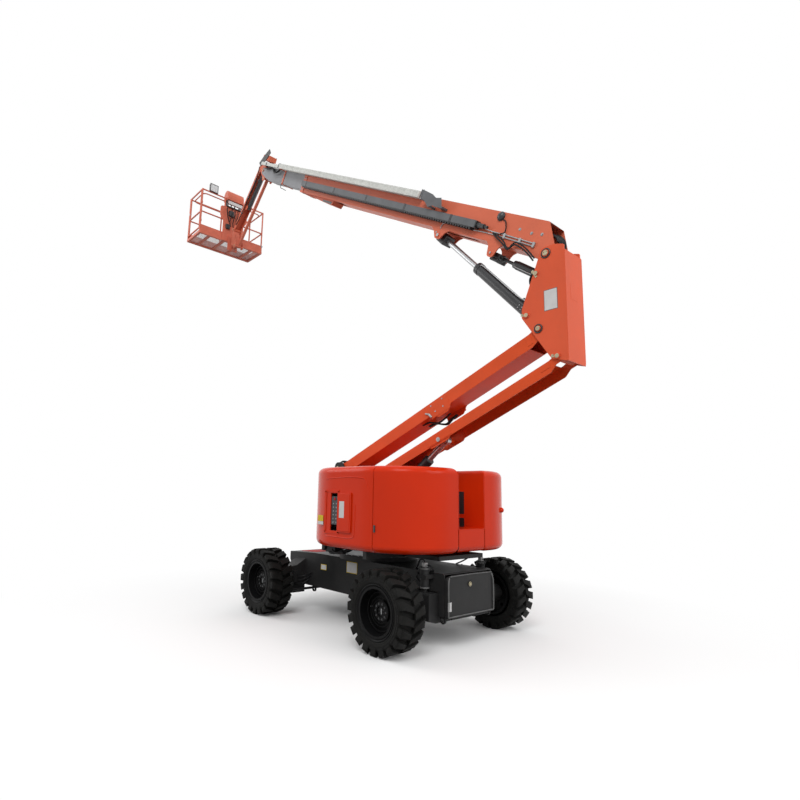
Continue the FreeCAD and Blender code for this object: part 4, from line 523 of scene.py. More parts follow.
for spot, normal in (((0, 0, 1.066), (0, 0, -1)), ((-1.655, 0, 1.165), (-0.70, 0, -0.71))):
    edge = bmesh.ops.bisect_plane(ballast.mesh, geom=ballast.mesh.verts[:] + ballast.mesh.edges[:] + ballast.mesh.faces[:],
                                  plane_co=spot, plane_no=normal, clear_outer=True)
    bmesh.ops.triangle_fill(ballast.mesh, use_beauty=True, use_dissolve=False, normal=normal,
                            edges=[e for e in edge["geom_cut"] if isinstance(e, bmesh.types.BMEdge)])
ballast = ballast.done("ballast_body", "hood", "turntable", 0.002)
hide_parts("counterweight")
# Black patches on the inner faces of the channel walls: painted shade standing in for the dark of window openings
window_shade_patches = Build()
window_shade_patches.block((-1.345, -0.2465, 1.345), (-1.240, -0.2440, 1.458))
window_shade_patches.block((-1.345, -0.2465, 1.508), (-1.240, -0.2440, 1.793))
window_shade_patches.done("channel_window_shade_patches", "black", "turntable", 0.001)
panel = Build()
panel.block((-0.473, 1.1325, 1.347), (-0.338, 1.1385, 1.694))
panel.done("control_panel", "black", "turntable", 0.003)
knobs = Build()
for row in range(6):
    for column in range(2):
        x = -0.440 + 0.055 * column
        z = 1.375 + 0.046 * row
        knobs.round_bar((x, 1.138, z), (x, 1.142, z), 0.009, 14)
        knobs.round_bar((x, 1.141, z), (x, 1.1472, z + 0.003), 0.0032, 8)
knobs.done("panel_switches", "steel", "turntable", 0.0008)
stop = Build()
stop.round_bar((-0.41, 1.138, 1.662), (-0.41, 1.143, 1.662), 0.014, 20)
stop.round_bar((-0.41, 1.142, 1.662), (-0.41, 1.1475, 1.662), 0.019, 20, 0.016)
stop.done("stop_button", "red", "turntable", 0.001)
lid_label = Build()
lid_label.block((-0.631, 1.1720, 1.438), (-0.537, 1.1732, 1.638))
lid_label.done("lid_plate", "white", "lid", 0.0008)
lid_rim = Build()
lid_rim.block((-0.732, 1.1660, 1.280), (-0.510, 1.1725, 1.730))
lid_rim.done("lid_crown", "hood", "lid", 0.003)
sticker = Build()
sticker.block((-0.190, 1.1485, 1.378), (-0.083, 1.1522, 1.452))
sticker.done("side_plate_yellow", "yellow", "turntable", 0.0006)
sticker = Build()
sticker.block((-0.193, 1.1485, 1.335), (-0.080, 1.1518, 1.375))
sticker.done("side_plate_white", "white", "turntable", 0.0006)
under = Build()
for side in (1, -1):
    under.block((-0.25, side * 0.93 - 0.06, 0.995), (-0.10, side * 0.93 + 0.06, 1.062))
    under.block((-0.33, side * 0.90 - 0.03, 0.972), (0.02, side * 0.90 + 0.03, 0.998))
    under.round_bar((-0.06, side * 0.93, 1.062), (-0.06, side * 0.93, 0.985), 0.026, 14)
    under.tube([(0.02, side * 0.85, 1.04), (-0.04, side * 0.92, 0.985), (-0.14, side * 0.95, 0.966),
                (-0.26, side * 0.93, 0.985), (-0.34, side * 0.86, 1.02), (-0.38, side * 0.78, 1.04)], 0.014)
    under.tube([(-0.04, side * 0.80, 1.04), (-0.08, side * 0.88, 0.978), (-0.20, side * 0.88, 0.962),
                (-0.30, side * 0.82, 0.99), (-0.34, side * 0.74, 1.035)], 0.011)
    under.tube([(-0.18, side * 0.97, 1.05), (-0.22, side * 1.00, 1.00), (-0.30, side * 0.99, 0.99),
                (-0.36, side * 0.94, 1.04)], 0.010)
under.done("under_hood_hoses", "hose", "turntable")
knob = Build()
knob.ball((-1.600, -0.697, 1.567), 0.034)
knob.done("rear_bump", "hood", "door_right")
slot_lines = Build()
for index, y in enumerate((-0.125, -0.092, 0.090, 0.122)):
    slot_lines.tube([(-0.55, y, 1.35), (-0.80, y, 1.42), (-1.0, y * 1.1, 1.46 + 0.03 * index), (-1.06, y, 1.40),
                     (-1.02, y * 0.8, 1.348)], 0.016)
slot_lines.done("slot_hoses", "hose", "turntable")
pivots = Build()
for x, z in ((0.735, 2.126), (0.521, 1.777), (0.100, 1.350)):
    for side in (1, -1):
        pivots.round_bar((x, side * 0.2045, z), (x, side * 0.2105, z), 0.026, 24)
        pivots.block((x - 0.05, side * 0.1935 - 0.004, z - 0.012), (x - 0.028, side * 0.1935 + 0.004, z + 0.012))
        pivots.bolt((x, side * 0.2100, z), (0, side, 0), 0.010)
pivots.done("tower_pin_ends", "brass", "turntable", 0.0015)
tower_hoses = Build()
for index in range(4):
    y = -0.11 + 0.07 * index
    tower_hoses.tube([(0.45, y, 1.10), (0.66, y, 1.45), (0.80, y, 1.85), (0.845, y, 2.10), (0.78, y, 2.215),
                      (0.66, y, 2.225), (0.55, y, 2.20)], 0.014)
tower_hoses.done("tower_hoses", "hose", "turntable")
cells = Build()
for index in range(4):
    x = -0.70 + 0.2 * index
    cells.block((x, -0.80, 1.4055), (x + 0.18, -0.44, 1.412))
    cells.round_bar((x + 0.05, -0.52, 1.41), (x + 0.05, -0.52, 1.43), 0.012, 12)
    cells.round_bar((x + 0.13, -0.70, 1.41), (x + 0.13, -0.70, 1.43), 0.012, 12)
cells.done("battery_caps", "black", "turntable", 0.002)
for side, body in ((1, "door_left"), (-1, "door_right")):
    latches = Build()
    latches.block((-1.14, side * 1.1225 - 0.006, 1.30), (-1.115, side * 1.1225 + 0.006, 1.38))
    latches.done("door_latch_left" if side > 0 else "door_latch_right", "black", body, 0.002)

# Links: doubler plate with its bolts, pins' ends, a fitting and hoses.
link = Build(UPPER)
for side in (1, -1):
    for x, z in ((-2.22, -0.02), (-2.02, -0.02), (-2.20, -0.12), (-2.06, -0.12)):
        link.bolt((x, side * LINK_Y, z), (0, side, 0), 0.011)
link.done("upper_link_bolts", "steel", "riser_upper", 0.001)
doubler = Build(UPPER)
for side in (1, -1):
    low_y, high_y = sorted((side * LINK_Y, side * (LINK_Y + 0.004)))
    doubler.block((-2.30, low_y, -0.19), (-1.97, high_y, -0.004))
    doubler.block((-3.62, low_y, -0.10), (-3.55, high_y, 0.018))
    doubler.block((-0.30, low_y, -0.10), (-0.22, high_y, 0.018))
doubler.done("upper_link_doublers", "link", "riser_upper", 0.003)
fitting = Build(UPPER)
fitting.round_bar((-1.955, 0.162, -0.110), (-1.900, 0.170, -0.075), 0.012, 12)
fitting.round_bar((-1.975, 0.162, -0.165), (-1.950, 0.168, -0.110), 0.016, 12)
fitting.done("upper_link_fitting", "steel", "riser_upper", 0.001)
hoses = Build(UPPER)
for y in (-0.088, -0.060, 0.060):
    hoses.tube([(-1.72, y, -0.139), (-1.84, y, -0.160), (-1.93, y, -0.215), (-2.00, y * 1.2, -0.245),
                (-2.10, y, -0.232), (-2.20, y, -0.218)], 0.012)
hoses.done("link_hoses", "hose", "riser_upper")
low_link = Build(LOWER)
for side in (1, -1):
    low_y, high_y = sorted((side * LINK_Y, side * (LINK_Y + 0.004)))
    low_link.block((-2.12, low_y, -0.10), (-1.70, high_y, 0.006))
    low_link.block((-3.62, low_y, -0.055), (-3.50, high_y, 0.012))
low_link.done("lower_link_doublers", "link", "riser_lower", 0.003)
stub = Build(LOWER)
for side in (1, -1):
    stub.round_bar((-1.90, side * 0.164, -0.075), (-1.90, side * 0.171, -0.075), 0.030, 24)
    stub.bolt((-1.90, side * 0.170, -0.075), (0, side, 0), 0.010)
stub.done("riser_eye_caps", "steel", "riser_lower", 0.0015)
ram = Build(RISER)
ram.block((1.20, -0.035, 0.060), (1.27, 0.035, 0.105))
ram.round_bar((0.12, 0.0, 0.072), (1.20, 0.0, 0.072), 0.008, 10)
ram.done("riser_ports", "steel", "riser_barrel", 0.003)

# Head: pin ends with keepers, bare sign plate, hoses.
pins = Build()
keepers = Build()
for x, z, radius in ((-2.8390, 4.4242, 0.038), (-2.7220, 3.5792, 0.032)):
    for side in (1, -1):
        pins.ring((x, side * 0.190, z), (0, 1, 0), radius + 0.013, 0.008)
        keepers.round_bar((x, side * 0.200, z), (x, side * 0.206, z), radius * 0.82, 24)
        for index in range(3):
            angle = 2 * math.pi * index / 3 + 0.6
            keepers.bolt((x + radius * 0.5 * math.cos(angle), side * 0.205, z + radius * 0.5 * math.sin(angle)),
                         (0, side, 0), 0.007, False)
pins.done("head_pin_rings", "black", "head")
for x, z, angle in ((-2.5820, 3.7662, 20), (-2.9360, 3.2302, 15), (-2.7150, 4.2262, 60)):
    for side in (1, -1):
        tilt = Matrix.Rotation(math.radians(-angle), 4, "Y")
        keepers.block((x - 0.030, side * 0.1885 - 0.0025, z - 0.014), (x + 0.075, side * 0.1885 + 0.0025, z + 0.014),
                      tilt)
        keepers.round_bar((x, side * 0.200, z), (x, side * 0.205, z), 0.024, 20)
        keepers.bolt((x + 0.050, side * 0.190, z + 0.02), (0, side, 0), 0.008, False)
keepers.done("head_pin_keepers", "brass", "head", 0.0012)
sign = Build()
edges = Build()
for side in (1, -1):
    low_y, high_y = sorted((side * (HEAD_Y + 0.0002), side * (HEAD_Y + 0.0012)))
    edges.block((-2.960, low_y, 3.757), (-2.800, high_y, 3.995))
    low_y, high_y = sorted((side * (HEAD_Y + 0.0012), side * (HEAD_Y + 0.0022)))
    sign.block((-2.954, low_y, 3.763), (-2.806, high_y, 3.989))
sign.done("head_bare_plate", "white", "head", 0.0004)
edges.done("head_plate_edge", "edge", "head", 0.0004)
ribs = Build()
for y in (-0.187, 0.187):
    ribs.block((-3.0618, y - 0.003, 3.18), (-3.0602, y + 0.003, 4.39))
ribs.block((-3.0618, 0.087, 3.86), (-3.0602, 0.093, 4.03))
ribs.block((-3.0618, -0.064, 3.857), (-3.0602, 0.093, 3.863))
ribs.round_bar((-3.0602, -0.085, 4.030), (-3.0618, -0.085, 4.030), 0.007, 12)
ribs.done("head_back_seams", "link", "head", 0.0004)
head_hoses = Build()
for index in range(4):
    y = -0.12 + 0.08 * index
    head_hoses.tube([(-2.96, y, 3.40), (-2.99, y, 3.80), (-2.995, y, 4.15), (-2.985, y, 4.32)], 0.014)
for y in (0.10, 0.125):
    head_hoses.tube([(-2.66, y, 4.06), (-2.62, y + 0.02, 4.12), (-2.62, y + 0.035, 4.19),
                     (-2.66, y + 0.035, 4.25), (-2.70, y + 0.03, 4.285)], 0.010)
head_hoses.done("head_hoses", "hose", "head")

# Boom: horn dome, pipes, hoses, bolts, collar screws, bar end.
shell = Build()
shell.mesh.from_mesh(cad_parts["boom_outer"].data)
shell.mesh.transform(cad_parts["boom_outer"].matrix_world)
edge_low, edge_high = BOOM @ Vector((-0.030, 0, 0.124)), BOOM @ Vector((0.147, 0, 0.338))
across = (edge_high - edge_low).cross(Vector((0, 1, 0))).normalized()
if across.x > 0:
    across = -across
rim_cut = bmesh.ops.bisect_plane(shell.mesh, geom=shell.mesh.verts[:] + shell.mesh.edges[:] + shell.mesh.faces[:],
                                 plane_co=edge_low, plane_no=across, clear_outer=True)
bmesh.ops.triangle_fill(shell.mesh, use_beauty=True, use_dissolve=False, normal=across,
                        edges=[e for e in rim_cut["geom_cut"] if isinstance(e, bmesh.types.BMEdge)])
shell = shell.done("boom_shell", "boom", "boom", 0.0025)
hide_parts("boom_outer")
dome = Build(BOOM)
dome.ball((0.854, BOOM_Y + 0.004, 0.289), 0.053, 0.75)
dome.round_bar((0.854, BOOM_Y - 0.001, 0.289), (0.854, BOOM_Y + 0.010, 0.289), 0.057, 24)
dome.done("boom_dome", "black", "boom")
pipes = Build(BOOM)
for start, stop in (((0.211, 0.073), (0.683, 0.091)), ((0.203, 0.042), (0.675, 0.058))):
    pipes.round_bar((start[0], BOOM_Y + 0.010, start[1]), (stop[0], BOOM_Y + 0.010, stop[1]), 0.0075, 12)
pipes.tube([(0.683, BOOM_Y + 0.010, 0.091), (0.869, BOOM_Y + 0.010, 0.092), (1.033, BOOM_Y + 0.009, 0.106),
            (1.206, BOOM_Y + 0.007, 0.125)], 0.0065, 8, 3)
pipes.tube([(0.675, BOOM_Y + 0.010, 0.058), (1.032, BOOM_Y + 0.009, 0.062), (1.20, BOOM_Y + 0.009, 0.055),
            (1.70, BOOM_Y + 0.009, 0.052), (1.78, BOOM_Y + 0.006, 0.03), (1.79, BOOM_Y + 0.004, -0.03)], 0.006, 8, 4)
for u, w in ((0.504, 0.191), (0.321, 0.178), (0.179, 0.191)):
    pipes.bolt((u, BOOM_Y, w), (0, 1, 0), 0.013)
for u, w in ((0.676, 0.075), (0.22, 0.058), (0.43, 0.066)):
    pipes.block((u - 0.016, BOOM_Y - 0.001, w - 0.030), (u + 0.016, BOOM_Y + 0.020, w + 0.030))
pipes.done("boom_pipes", "steel", "boom", 0.001)
side_hoses = Build(BOOM)
side_hoses.tube([(0.82, BOOM_Y + 0.012, 0.262), (0.743, BOOM_Y + 0.012, 0.235), (0.691, BOOM_Y + 0.014, 0.124),
                 (0.749, BOOM_Y + 0.014, 0.087)], 0.007)
for shift in (0.0, 0.028):
    side_hoses.tube([(0.86, BOOM_Y + 0.016, 0.075), (0.775, BOOM_Y + 0.030, 0.065 - shift),
                     (0.627, BOOM_Y + 0.040, 0.007 - shift), (0.523, BOOM_Y + 0.042, -0.057 - shift * 0.4),
                     (0.448, BOOM_Y + 0.043, 0.030 - shift), (0.273, BOOM_Y + 0.046, -0.006 - shift),
                     (0.105, BOOM_Y + 0.047, -0.085 - shift)], 0.0095)
side_hoses.done("boom_side_hoses", "hose", "boom")
tail_hoses = Build(BOOM)
for index in range(5):
    y = -0.10 + 0.05 * index
    tail_hoses.tube([(-0.02, y, 0.10 + 0.015 * index), (0.02, y, 0.20), (0.14, y, 0.26 - 0.01 * index),
                     (0.40, y, 0.25)], 0.013)
tail_hoses.done("boom_tail_hoses", "hose", "boom")
screws = Build(BOOM)
for side in (1, -1):
    for u in (5.795, 5.855):
        for w in (0.02, 0.12, 0.22, 0.30):
            screws.bolt((u, side * (BOOM_Y + 0.008), w), (0, side, 0), 0.009)
    for u in (5.795, 5.855):
        screws.bolt((u, side * 0.09, 0.353), (0, 0, 1), 0.009)
        screws.bolt((u, side * 0.09, -0.038), (0, 0, -1), 0.009)
for u in (1.795,):
    for side in (1, -1):
        screws.round_bar((u, side * 0.165, -0.116), (u, side * 0.170, -0.116), 0.022, 20)
        screws.bolt((u + 0.05, side * 0.1555, -0.085), (0, side, 0), 0.009)
        screws.bolt((0.784, side * 0.164, -0.152), (0, side, 0), 0.010)
screws.done("boom_screws", "steel", "boom", 0.001)
bar_end = Build(BOOM)
bar_end.round_bar((1.010, 0.197, 0.120), (1.131, 0.197, 0.120), 0.030, 20)
bar_end.round_bar((0.955, 0.197, 0.120), (1.012, 0.197, 0.120), 0.018, 16)
bar_end.block((1.128, 0.157, 0.078), (1.150, 0.240, 0.162))
for u in (1.60, 2.60, 3.60, 4.60, 5.60):
    bar_end.block((u - 0.02, 0.1545, 0.070), (u + 0.02, 0.2425, 0.0755))
    bar_end.block((u - 0.02, 0.2388, 0.072), (u + 0.02, 0.2425, 0.168))
bar_end.block((5.755, 0.157, 0.077), (5.772, 0.239, 0.163))
bar_end.block((1.20, 0.160, 0.062), (5.75, 0.232, 0.0755))
for index in range(91):
    u = 1.205 + 0.05 * index
    bar_end.block((u, 0.162, 0.044), (u + 0.026, 0.230, 0.064))
bar_end.done("side_bar_ends", "black", "boom", 0.003)
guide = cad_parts["boom_guide_tube"]
soft = guide.modifiers.new("edge", "BEVEL")
soft.width = 0.016
soft.segments = 4
soft.limit_method = "ANGLE"
soft.harden_normals = True
ARCH = ((2.277, 0.279), (2.300, 0.393), (2.218, 0.384), (2.052, 0.356), (1.965, 0.320), (1.864, 0.334),
        (1.785, 0.203), (1.915, 0.203), (1.979, 0.213), (2.064, 0.181), (2.175, 0.253))
arch = Build(BOOM)
arch.plate(list(reversed(ARCH)), 0.2802, 0.2862)
for u in (2.262, 2.298):
    arch.round_bar((u, 0.283, 0.27), (u, 0.283, 0.395), 0.007, 10)
for low_u, high_u, low_w, high_w in ((1.800, 1.900, 0.206, 0.232), (2.040, 2.090, 0.188, 0.214),
                                     (2.180, 2.270, 0.258, 0.276)):
    arch.block((low_u, 0.1545, low_w), (high_u, 0.2810, high_w))
arch = arch.done("guide_arch", "bar", "boom", 0.0015)
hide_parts("track_guide")
hump = Build(BOOM)
hump.plate([(5.76, -0.026), (5.48, -0.055), (5.12, -0.085), (4.72, -0.104), (4.68, -0.026)], -0.110, 0.110)
hump.done("boom_hump", "boom", "boom", 0.006)
# Black plates on the sides of the hump: painted shade standing in for the dark inside the pocket openings
pocket = Build(BOOM)
pocket.plate([(5.05, -0.086), (4.74, -0.100), (4.74, -0.055), (5.05, -0.055)], 0.108, 0.1125)
pocket.plate([(5.05, -0.086), (4.74, -0.100), (4.74, -0.055), (5.05, -0.055)], -0.1125, -0.108)
pocket.done("boom_pocket", "black", "boom", 0.004)

# Fly: chain links on the carrier, clamps, hoses at its front.
chain = Build(BOOM)
for index in range(64):
    u = 2.42 + 0.0695 * index
    chain.block((u, 0.2632, 0.290), (u + 0.0085, 0.2665, 0.364))
    chain.block((u, 0.176, 0.3722), (u + 0.0085, 0.260, 0.3752))
for w in (0.296, 0.357):
    chain.block((2.40, 0.2632, w - 0.004), (6.84, 0.2662, w + 0.004))
chain.done("carrier_links", "track", "fly", 0.001)
clamp = Build(BOOM)
clamp.block((7.00, 0.126, 0.290), (7.05, 0.196, 0.368))
clamp.round_bar((7.025, 0.160, 0.366), (7.025, 0.160, 0.405), 0.009, 12)
clamp.block((7.60, 0.126, 0.290), (7.64, 0.194, 0.366))
clamp.block((6.84, 0.150, 0.278), (6.90, 0.260, 0.376))
clamp.done("conduit_clamps", "black", "fly", 0.003)
front_hoses = Build(BOOM)
for index in range(3):
    y = 0.135 + 0.02 * index
    front_hoses.tube([(6.90, 0.17, 0.30), (7.00, y + 0.03, 0.235 - 0.01 * index), (7.12, y + 0.02, 0.215 - 0.012 * index),
                      (7.26, y, 0.25), (7.36, y, 0.285), (7.46, y, 0.262), (7.62, y, 0.245)], 0.010)
front_hoses.done("fly_front_hoses", "hose", "fly")
rod_end = Build(BOOM)
rod_end.tube([(6.765, 0.137, 0.03), (6.735, 0.148, -0.05), (6.60, 0.155, -0.066), (6.46, 0.158, -0.082)], 0.006)
rod_end.done("clamp_rod", "hose", "fly")
band_bolts = Build(BOOM)
for w in (0.06, 0.16, 0.24):
    band_bolts.bolt((6.765, 0.1353, w), (0, 1, 0), 0.009)
band_bolts.done("band_bolts", "steel", "fly", 0.001)

# Cylinders: gland rings, ports, pipes.
ram = Build(LIFT)
ram.round_bar((1.1795, 0, 0), (1.188, 0, 0), 0.062, 28)
ram.block((0.10, 0.055, -0.03), (0.26, 0.098, 0.03))
ram.block((0.16, -0.03, 0.062), (0.30, 0.03, 0.100))
ram.done("lift_ports", "black", "lift_barrel", 0.003)
ram = Build(LIFT)
ram.tube([(0.22, 0.050, 0.094), (0.34, 0.060, 0.074), (0.60, 0.062, 0.072), (1.06, 0.062, 0.072),
          (1.12, 0.052, 0.052)], 0.007, 8, 4)
for x, y in ((0.13, 0.099), (0.18, 0.099), (0.23, 0.099)):
    for z in (-0.016, 0.016):
        ram.bolt((x, y, z), (0, 1, 0), 0.007, False)
ram.done("lift_pipe", "steel", "lift_barrel", 0.001)
ram = Build(LIFT)
ram.block((1.90, -0.09, -0.075), (2.06, 0.09, 0.065))
ram.done("lift_eye_block", "black", "lift_rod", 0.012)
ram = Build(LEVEL)
ram.block((0.68, -0.09, -0.028), (0.82, 0.09, 0.036))
for low_y, high_y in ((-0.09, -0.048), (0.048, 0.09)):
    ram.block((0.68, low_y, -0.072), (0.82, high_y, -0.026))
ram.round_bar((0.666, 0, 0), (0.69, 0, 0), 0.040, 24, 0.046)
ram.done("level_eye_block", "black", "level_rod", 0.012)
ram = Build(LEVEL)
ram.round_bar((0.11, 0, 0), (0.44, 0, 0), 0.053, 28)
ram.round_bar((0.435, 0, 0), (0.485, 0, 0), 0.050, 28, 0.046)
ram.block((0.10, 0.020, -0.030), (0.16, 0.070, 0.030))
ram.done("level_sleeve", "black", "level_barrel", 0.003)
ram = Build(LEVEL)
ram.tube([(0.43, 0.046, -0.020), (0.43, 0.066, -0.028), (0.40, 0.070, -0.030), (0.20, 0.070, -0.030),
          (0.15, 0.066, -0.028), (0.14, 0.046, -0.020)], 0.006, 8, 6)
ram.done("level_pipe", "steel", "level_barrel")
ram = Build(Matrix.Translation((0, 0, 0)) @ JIB)
ram.block((0.86, -0.028, -0.16), (0.93, 0.028, -0.135))
ram.block((0.33, 0.030, -0.135), (0.39, 0.056, -0.095))
ram.done("jib_ports", "black", "jib_barrel", 0.002)
jib_hoses = Build(JIB)
for index in range(3):
    jib_hoses.tube([(0.10, 0.113, -0.02), (0.22, 0.110, -0.070), (0.42, 0.092, -0.060 - 0.012 * index),
                    (0.75, 0.092, -0.050 - 0.010 * index), (1.10, 0.092, -0.056), (1.35, 0.092, -0.046),
                    (1.50, 0.090, -0.02)], 0.009)
jib_hoses.done("jib_hoses", "hose", "jib_arm")
straps = Build(JIB)
for x in (0.42, 0.80, 1.18):
    straps.block((x - 0.012, 0.080, -0.088), (x + 0.012, 0.106, -0.030))
straps.done("jib_hose_straps", "black", "jib_arm", 0.002)
wedge = Build()
wedge.plate([(3.562, 9.059), (3.510, 8.943), (3.774, 8.840), (3.919, 8.818), (3.990, 8.940), (3.790, 9.008)],
            0.0925, 0.1040)
wedge.plate([(3.600, 8.950), (3.580, 8.930), (3.774, 8.840), (3.919, 8.818), (3.970, 8.900), (3.790, 8.960)],
            -0.1040, -0.0925)
wedge = wedge.done("tip_wedge", "black", "tip", 0.002)
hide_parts("tip_lever")
tips = Build()
for dx, dz in ((0, 0), (-0.117, -0.436), (-0.150, -0.282)):
    for side in (1, -1):
        y = 0.0985 if dz > -0.28 or dz < -0.3 else 0.1405
        tips.round_bar((TIP.x + dx, side * (y - 0.001), TIP.z + dz), (TIP.x + dx, side * (y + 0.005), TIP.z + dz),
                       0.019, 20)
tips.done("tip_pin_ends", "brass", "tip", 0.001)
mount_pins = Build()
for x, z in ((5.04995, 7.76439), (4.93295, 7.32839)):
    for side in (1, -1):
        mount_pins.round_bar((x, side * 0.1055, z), (x, side * 0.111, z), 0.019, 20)
        mount_pins.bolt((x, side * 0.110, z), (0, side, 0), 0.008, False)
mount_pins.done("mount_pin_ends", "brass", "mount", 0.001)

# Platform: open mesh floor, console details, lamp, gate latch, control box.
FLOOR, REAR = 7.597, 5.290
mesh_floor = Build()
for index in range(20):
    x = REAR + 0.055 + 0.030 * index
    mesh_floor.block((x - 0.0025, -0.757, FLOOR - 0.0248), (x + 0.0025, 0.757, FLOOR - 0.0202))
for index in range(51):
    y = -0.75 + 0.030 * index
    mesh_floor.block((REAR + 0.0525, y - 0.0025, FLOOR - 0.0246), (REAR + 0.6275, y + 0.0025, FLOOR - 0.0204))
grating = mesh_floor.done("open_mesh_floor", "zinc", "platform")
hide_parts("floor_grating")
drum = Build()
profile = [(5.205, 8.560), (5.198, 8.600), (5.202, 8.700), (5.225, 8.770), (5.270, 8.806), (5.330, 8.812),
           (5.385, 8.790), (5.420, 8.740), (5.428, 8.660), (5.425, 8.560)]
drum.plate(profile, -0.205, 0.205)
drum.block((5.205, -0.178, 8.450), (5.225, 0.193, 8.530))
drum = drum.done("console_drum", "basket", "platform", 0.008)
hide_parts("console")
strip = Build()
strip.block((5.2015, -0.174, 8.452), (5.2055, 0.189, 8.528))
strip.done("console_bare_strip", "white", "platform", 0.001)
trim = Build()
trim.block((5.215, -0.205, 8.388), (5.400, 0.205, 8.402))
for y in (-0.195, -0.09, 0.02, 0.11, 0.195):
    trim.block((5.205, y - 0.012, 8.398), (5.230, y + 0.012, 8.470))
for y in (-0.190, 0.190):
    trim.block((5.240, y - 0.010, 8.398), (5.380, y + 0.010, 8.575))
for y in (-0.14, -0.06, 0.02, 0.09, 0.15):
    trim.round_bar((5.425, y, 8.50), (5.440, y, 8.506), 0.009, 12)
for y in (-0.12, 0.12):
    trim.round_bar((5.405, y, 8.74), (5.450, y, 8.79), 0.011, 12)
    trim.ball((5.452, y, 8.793), 0.018)
trim.done("console_dark_trim", "black", "platform", 0.003)
stop = Build()
stop.round_bar((5.424, 0.0, 8.625), (5.448, 0.0, 8.631), 0.020, 18)
stop.done("console_stop", "red", "platform", 0.001)
box_parts = Build()
box_parts.block((5.2645 - 0.075, -0.24, 8.06), (5.2645, -0.10, 8.24))
box_parts.block((5.2645 - 0.055, 0.02, 8.17), (5.2645, 0.14, 8.30))
box_parts.block((5.2645 - 0.040, 0.10, 7.84), (5.2645, 0.20, 7.95))
box_parts.done("support_boxes", "black", "platform", 0.004)
loops = Build()
for index in range(4):
    y = -0.16 + 0.075 * index
    loops.tube([(5.245, y, 8.36), (5.21, y + 0.01, 8.22), (5.22, y + 0.04, 8.08), (5.225, y + 0.05, 7.99),
                (5.245, y + 0.02, 7.945), (5.262, y, 7.935)], 0.010)
loops.tube([(5.24, 0.19, 8.35), (5.19, 0.21, 8.24), (5.19, 0.19, 8.12), (5.22, 0.14, 8.03), (5.255, 0.12, 8.04)],
           0.012)
loops.done("platform_hoses", "hose", "platform")
lamp = Build()
lamp.block((5.262, 0.449, 8.628), (5.2705, 0.625, 8.800))
lamp.done("lamp_glass", "lens", "platform", 0.003)
lamp = Build()
for low, high in (((0.436, 8.616), (0.452, 8.814)), ((0.622, 8.616), (0.638, 8.814)),
                  ((0.436, 8.796), (0.638, 8.814)), ((0.436, 8.616), (0.638, 8.634))):
    lamp.block((5.258, low[0], low[1]), (5.280, high[0], high[1]))
lamp.block((5.270, 0.443, 8.622), (5.330, 0.631, 8.808))
lamp.done("lamp_frame", "edge", "platform", 0.004)
knob = Build()
knob.round_bar((REAR + 0.02, -0.801, 7.727), (REAR - 0.012, -0.801, 7.727), 0.022, 16)
knob.done("corner_fitting", "steel", "platform", 0.002)
latch = Build()
latch.block((5.905, 0.775, 8.20), (5.945, 0.812, 8.24))
latch.round_bar((5.925, 0.79, 8.235), (5.925, 0.79, 8.27), 0.009, 12)
latch.done("gate_latch", "steel", "gate", 0.002)
elbows = Build()
for x in (REAR + 0.017, REAR + 0.663):
    for y in (-0.793, 0.793):
        elbows.ball((x, y, FLOOR + 1.020), 0.0172)
elbows.done("rail_corners", "basket", "platform")
inner = Build()
corner = 0.10
loop = []
for x, y, start in ((REAR + 0.067, -0.743, 180), (REAR + 0.613, -0.743, 270), (REAR + 0.613, 0.743, 0),
                    (REAR + 0.067, 0.743, 90)):
    middle_x = x + (corner if x < REAR + 0.3 else -corner)
    middle_y = y + (corner if y < 0 else -corner)
    for step in range(7):
        angle = math.radians(start + 15 * step)
        loop.append(Vector((middle_x + corner * math.cos(angle), middle_y + corner * math.sin(angle), FLOOR + 0.968)))
inner.sweep(loop, 0.0135, 12, closed=True)
inner.done("inner_top_rail", "basket", "platform")

# Studio: pale floor and soft light.
floor_mesh = bpy.data.meshes.new("studio_floor")
size = 60
floor_mesh.from_pydata([(-size, -size, 0), (size, -size, 0), (size, size, 0), (-size, size, 0)], [], [(0, 1, 2, 3)])
floor = bpy.data.objects.new("studio_floor", floor_mesh)
bpy.context.scene.collection.objects.link(floor)
pale = bpy.data.materials.new("pale_floor")
pale.use_nodes = True
nodes, links = pale.node_tree.nodes, pale.node_tree.links
near = nodes["Principled BSDF"]
near.inputs["Base Color"].default_value = (0.90, 0.90, 0.90, 1)
near.inputs["Roughness"].default_value = 0.95
near.inputs["Specular IOR Level"].default_value = 0.0
dark = nodes.new("ShaderNodeBsdfDiffuse")
dark.inputs["Color"].default_value = (0.22, 0.21, 0.20, 1)
glow = nodes.new("ShaderNodeEmission")
glow.inputs["Color"].default_value = (1, 1, 1, 1)
paths = nodes.new("ShaderNodeLightPath")
spot = nodes.new("ShaderNodeTexCoord")
far = nodes.new("ShaderNodeVectorMath")
far.operation = "LENGTH"
reach = nodes.new("ShaderNodeMapRange")
reach.inputs["From Min"].default_value = 2.2
reach.inputs["From Max"].default_value = 6.0
fade = nodes.new("ShaderNodeMixShader")
seen = nodes.new("ShaderNodeMixShader")
links.new(spot.outputs["Object"], far.inputs[0])
links.new(far.outputs["Value"], reach.inputs["Value"])
links.new(reach.outputs["Result"], fade.inputs["Fac"])
links.new(near.outputs["BSDF"], fade.inputs[1])
links.new(glow.outputs["Emission"], fade.inputs[2])
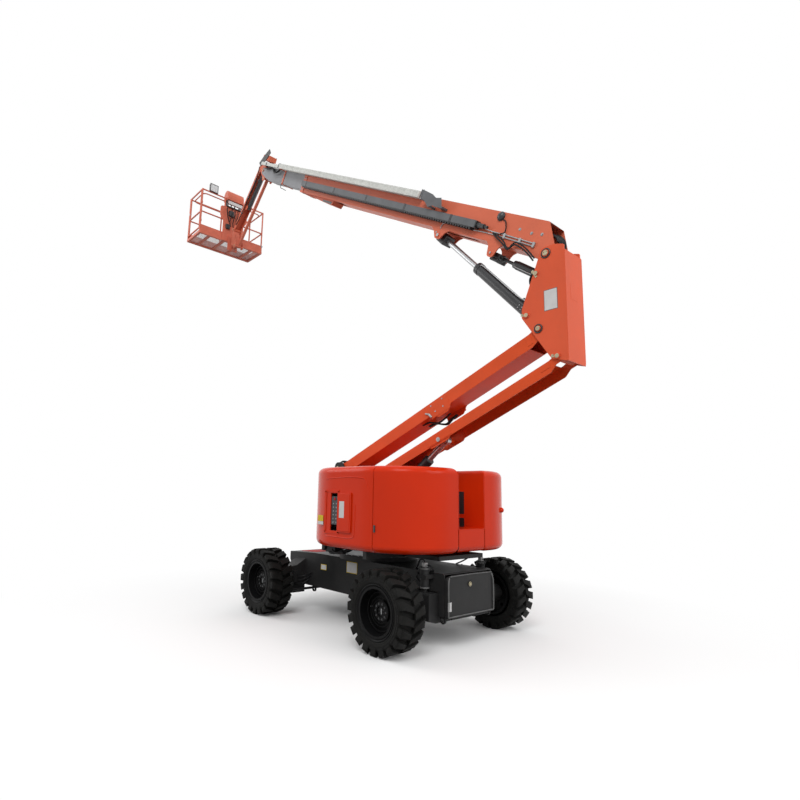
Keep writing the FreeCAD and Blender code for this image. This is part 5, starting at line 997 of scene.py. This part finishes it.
links.new(paths.outputs["Is Diffuse Ray"], seen.inputs["Fac"])
links.new(fade.outputs["Shader"], seen.inputs[1])
links.new(dark.outputs["BSDF"], seen.inputs[2])
links.new(seen.outputs["Shader"], nodes["Material Output"].inputs["Surface"])
floor_mesh.materials.append(pale)

world = bpy.data.worlds.new("studio")
bpy.context.scene.world = world
world.use_nodes = True
nodes, links = world.node_tree.nodes, world.node_tree.links
back = nodes["Background"]
plain = nodes.new("ShaderNodeBackground")
plain.inputs["Color"].default_value = (1, 1, 1, 1)
spot = nodes.new("ShaderNodeTexCoord")
parts = nodes.new("ShaderNodeSeparateXYZ")
height = nodes.new("ShaderNodeMapRange")
height.inputs["From Min"].default_value = -1
shade = nodes.new("ShaderNodeValToRGB")
shade.color_ramp.elements[0].color = (0.12, 0.12, 0.12, 1)
shade.color_ramp.elements[1].color = (0.76, 0.76, 0.76, 1)
middle = shade.color_ramp.elements.new(0.5)
middle.color = (0.52, 0.52, 0.52, 1)
paths = nodes.new("ShaderNodeLightPath")
mixer = nodes.new("ShaderNodeMixShader")
links.new(spot.outputs["Generated"], parts.inputs["Vector"])
links.new(parts.outputs["Z"], height.inputs["Value"])
links.new(height.outputs["Result"], shade.inputs["Fac"])
links.new(shade.outputs["Color"], back.inputs["Color"])
links.new(paths.outputs["Is Diffuse Ray"], mixer.inputs["Fac"])
links.new(plain.outputs["Background"], mixer.inputs[1])
links.new(back.outputs["Background"], mixer.inputs[2])
links.new(mixer.outputs["Shader"], nodes["World Output"].inputs["Surface"])


def lamp_at(name, where, look_at, energy, size):
    data = bpy.data.lights.new(name, "AREA")
    data.energy = energy
    data.size = size
    made = bpy.data.objects.new(name, data)
    bpy.context.scene.collection.objects.link(made)
    made.location = where
    made.rotation_euler = (Vector(look_at) - Vector(where)).to_track_quat("-Z", "Y").to_euler()


lamp_at("key", (-9, 12, 15), (0, 0, 4), 1600, 9)
lamp_at("fill", (-14, -3, 8), (-1, 0, 3), 620, 8)
lamp_at("front", (12, 8, 10), (1, 0, 4), 500, 8)
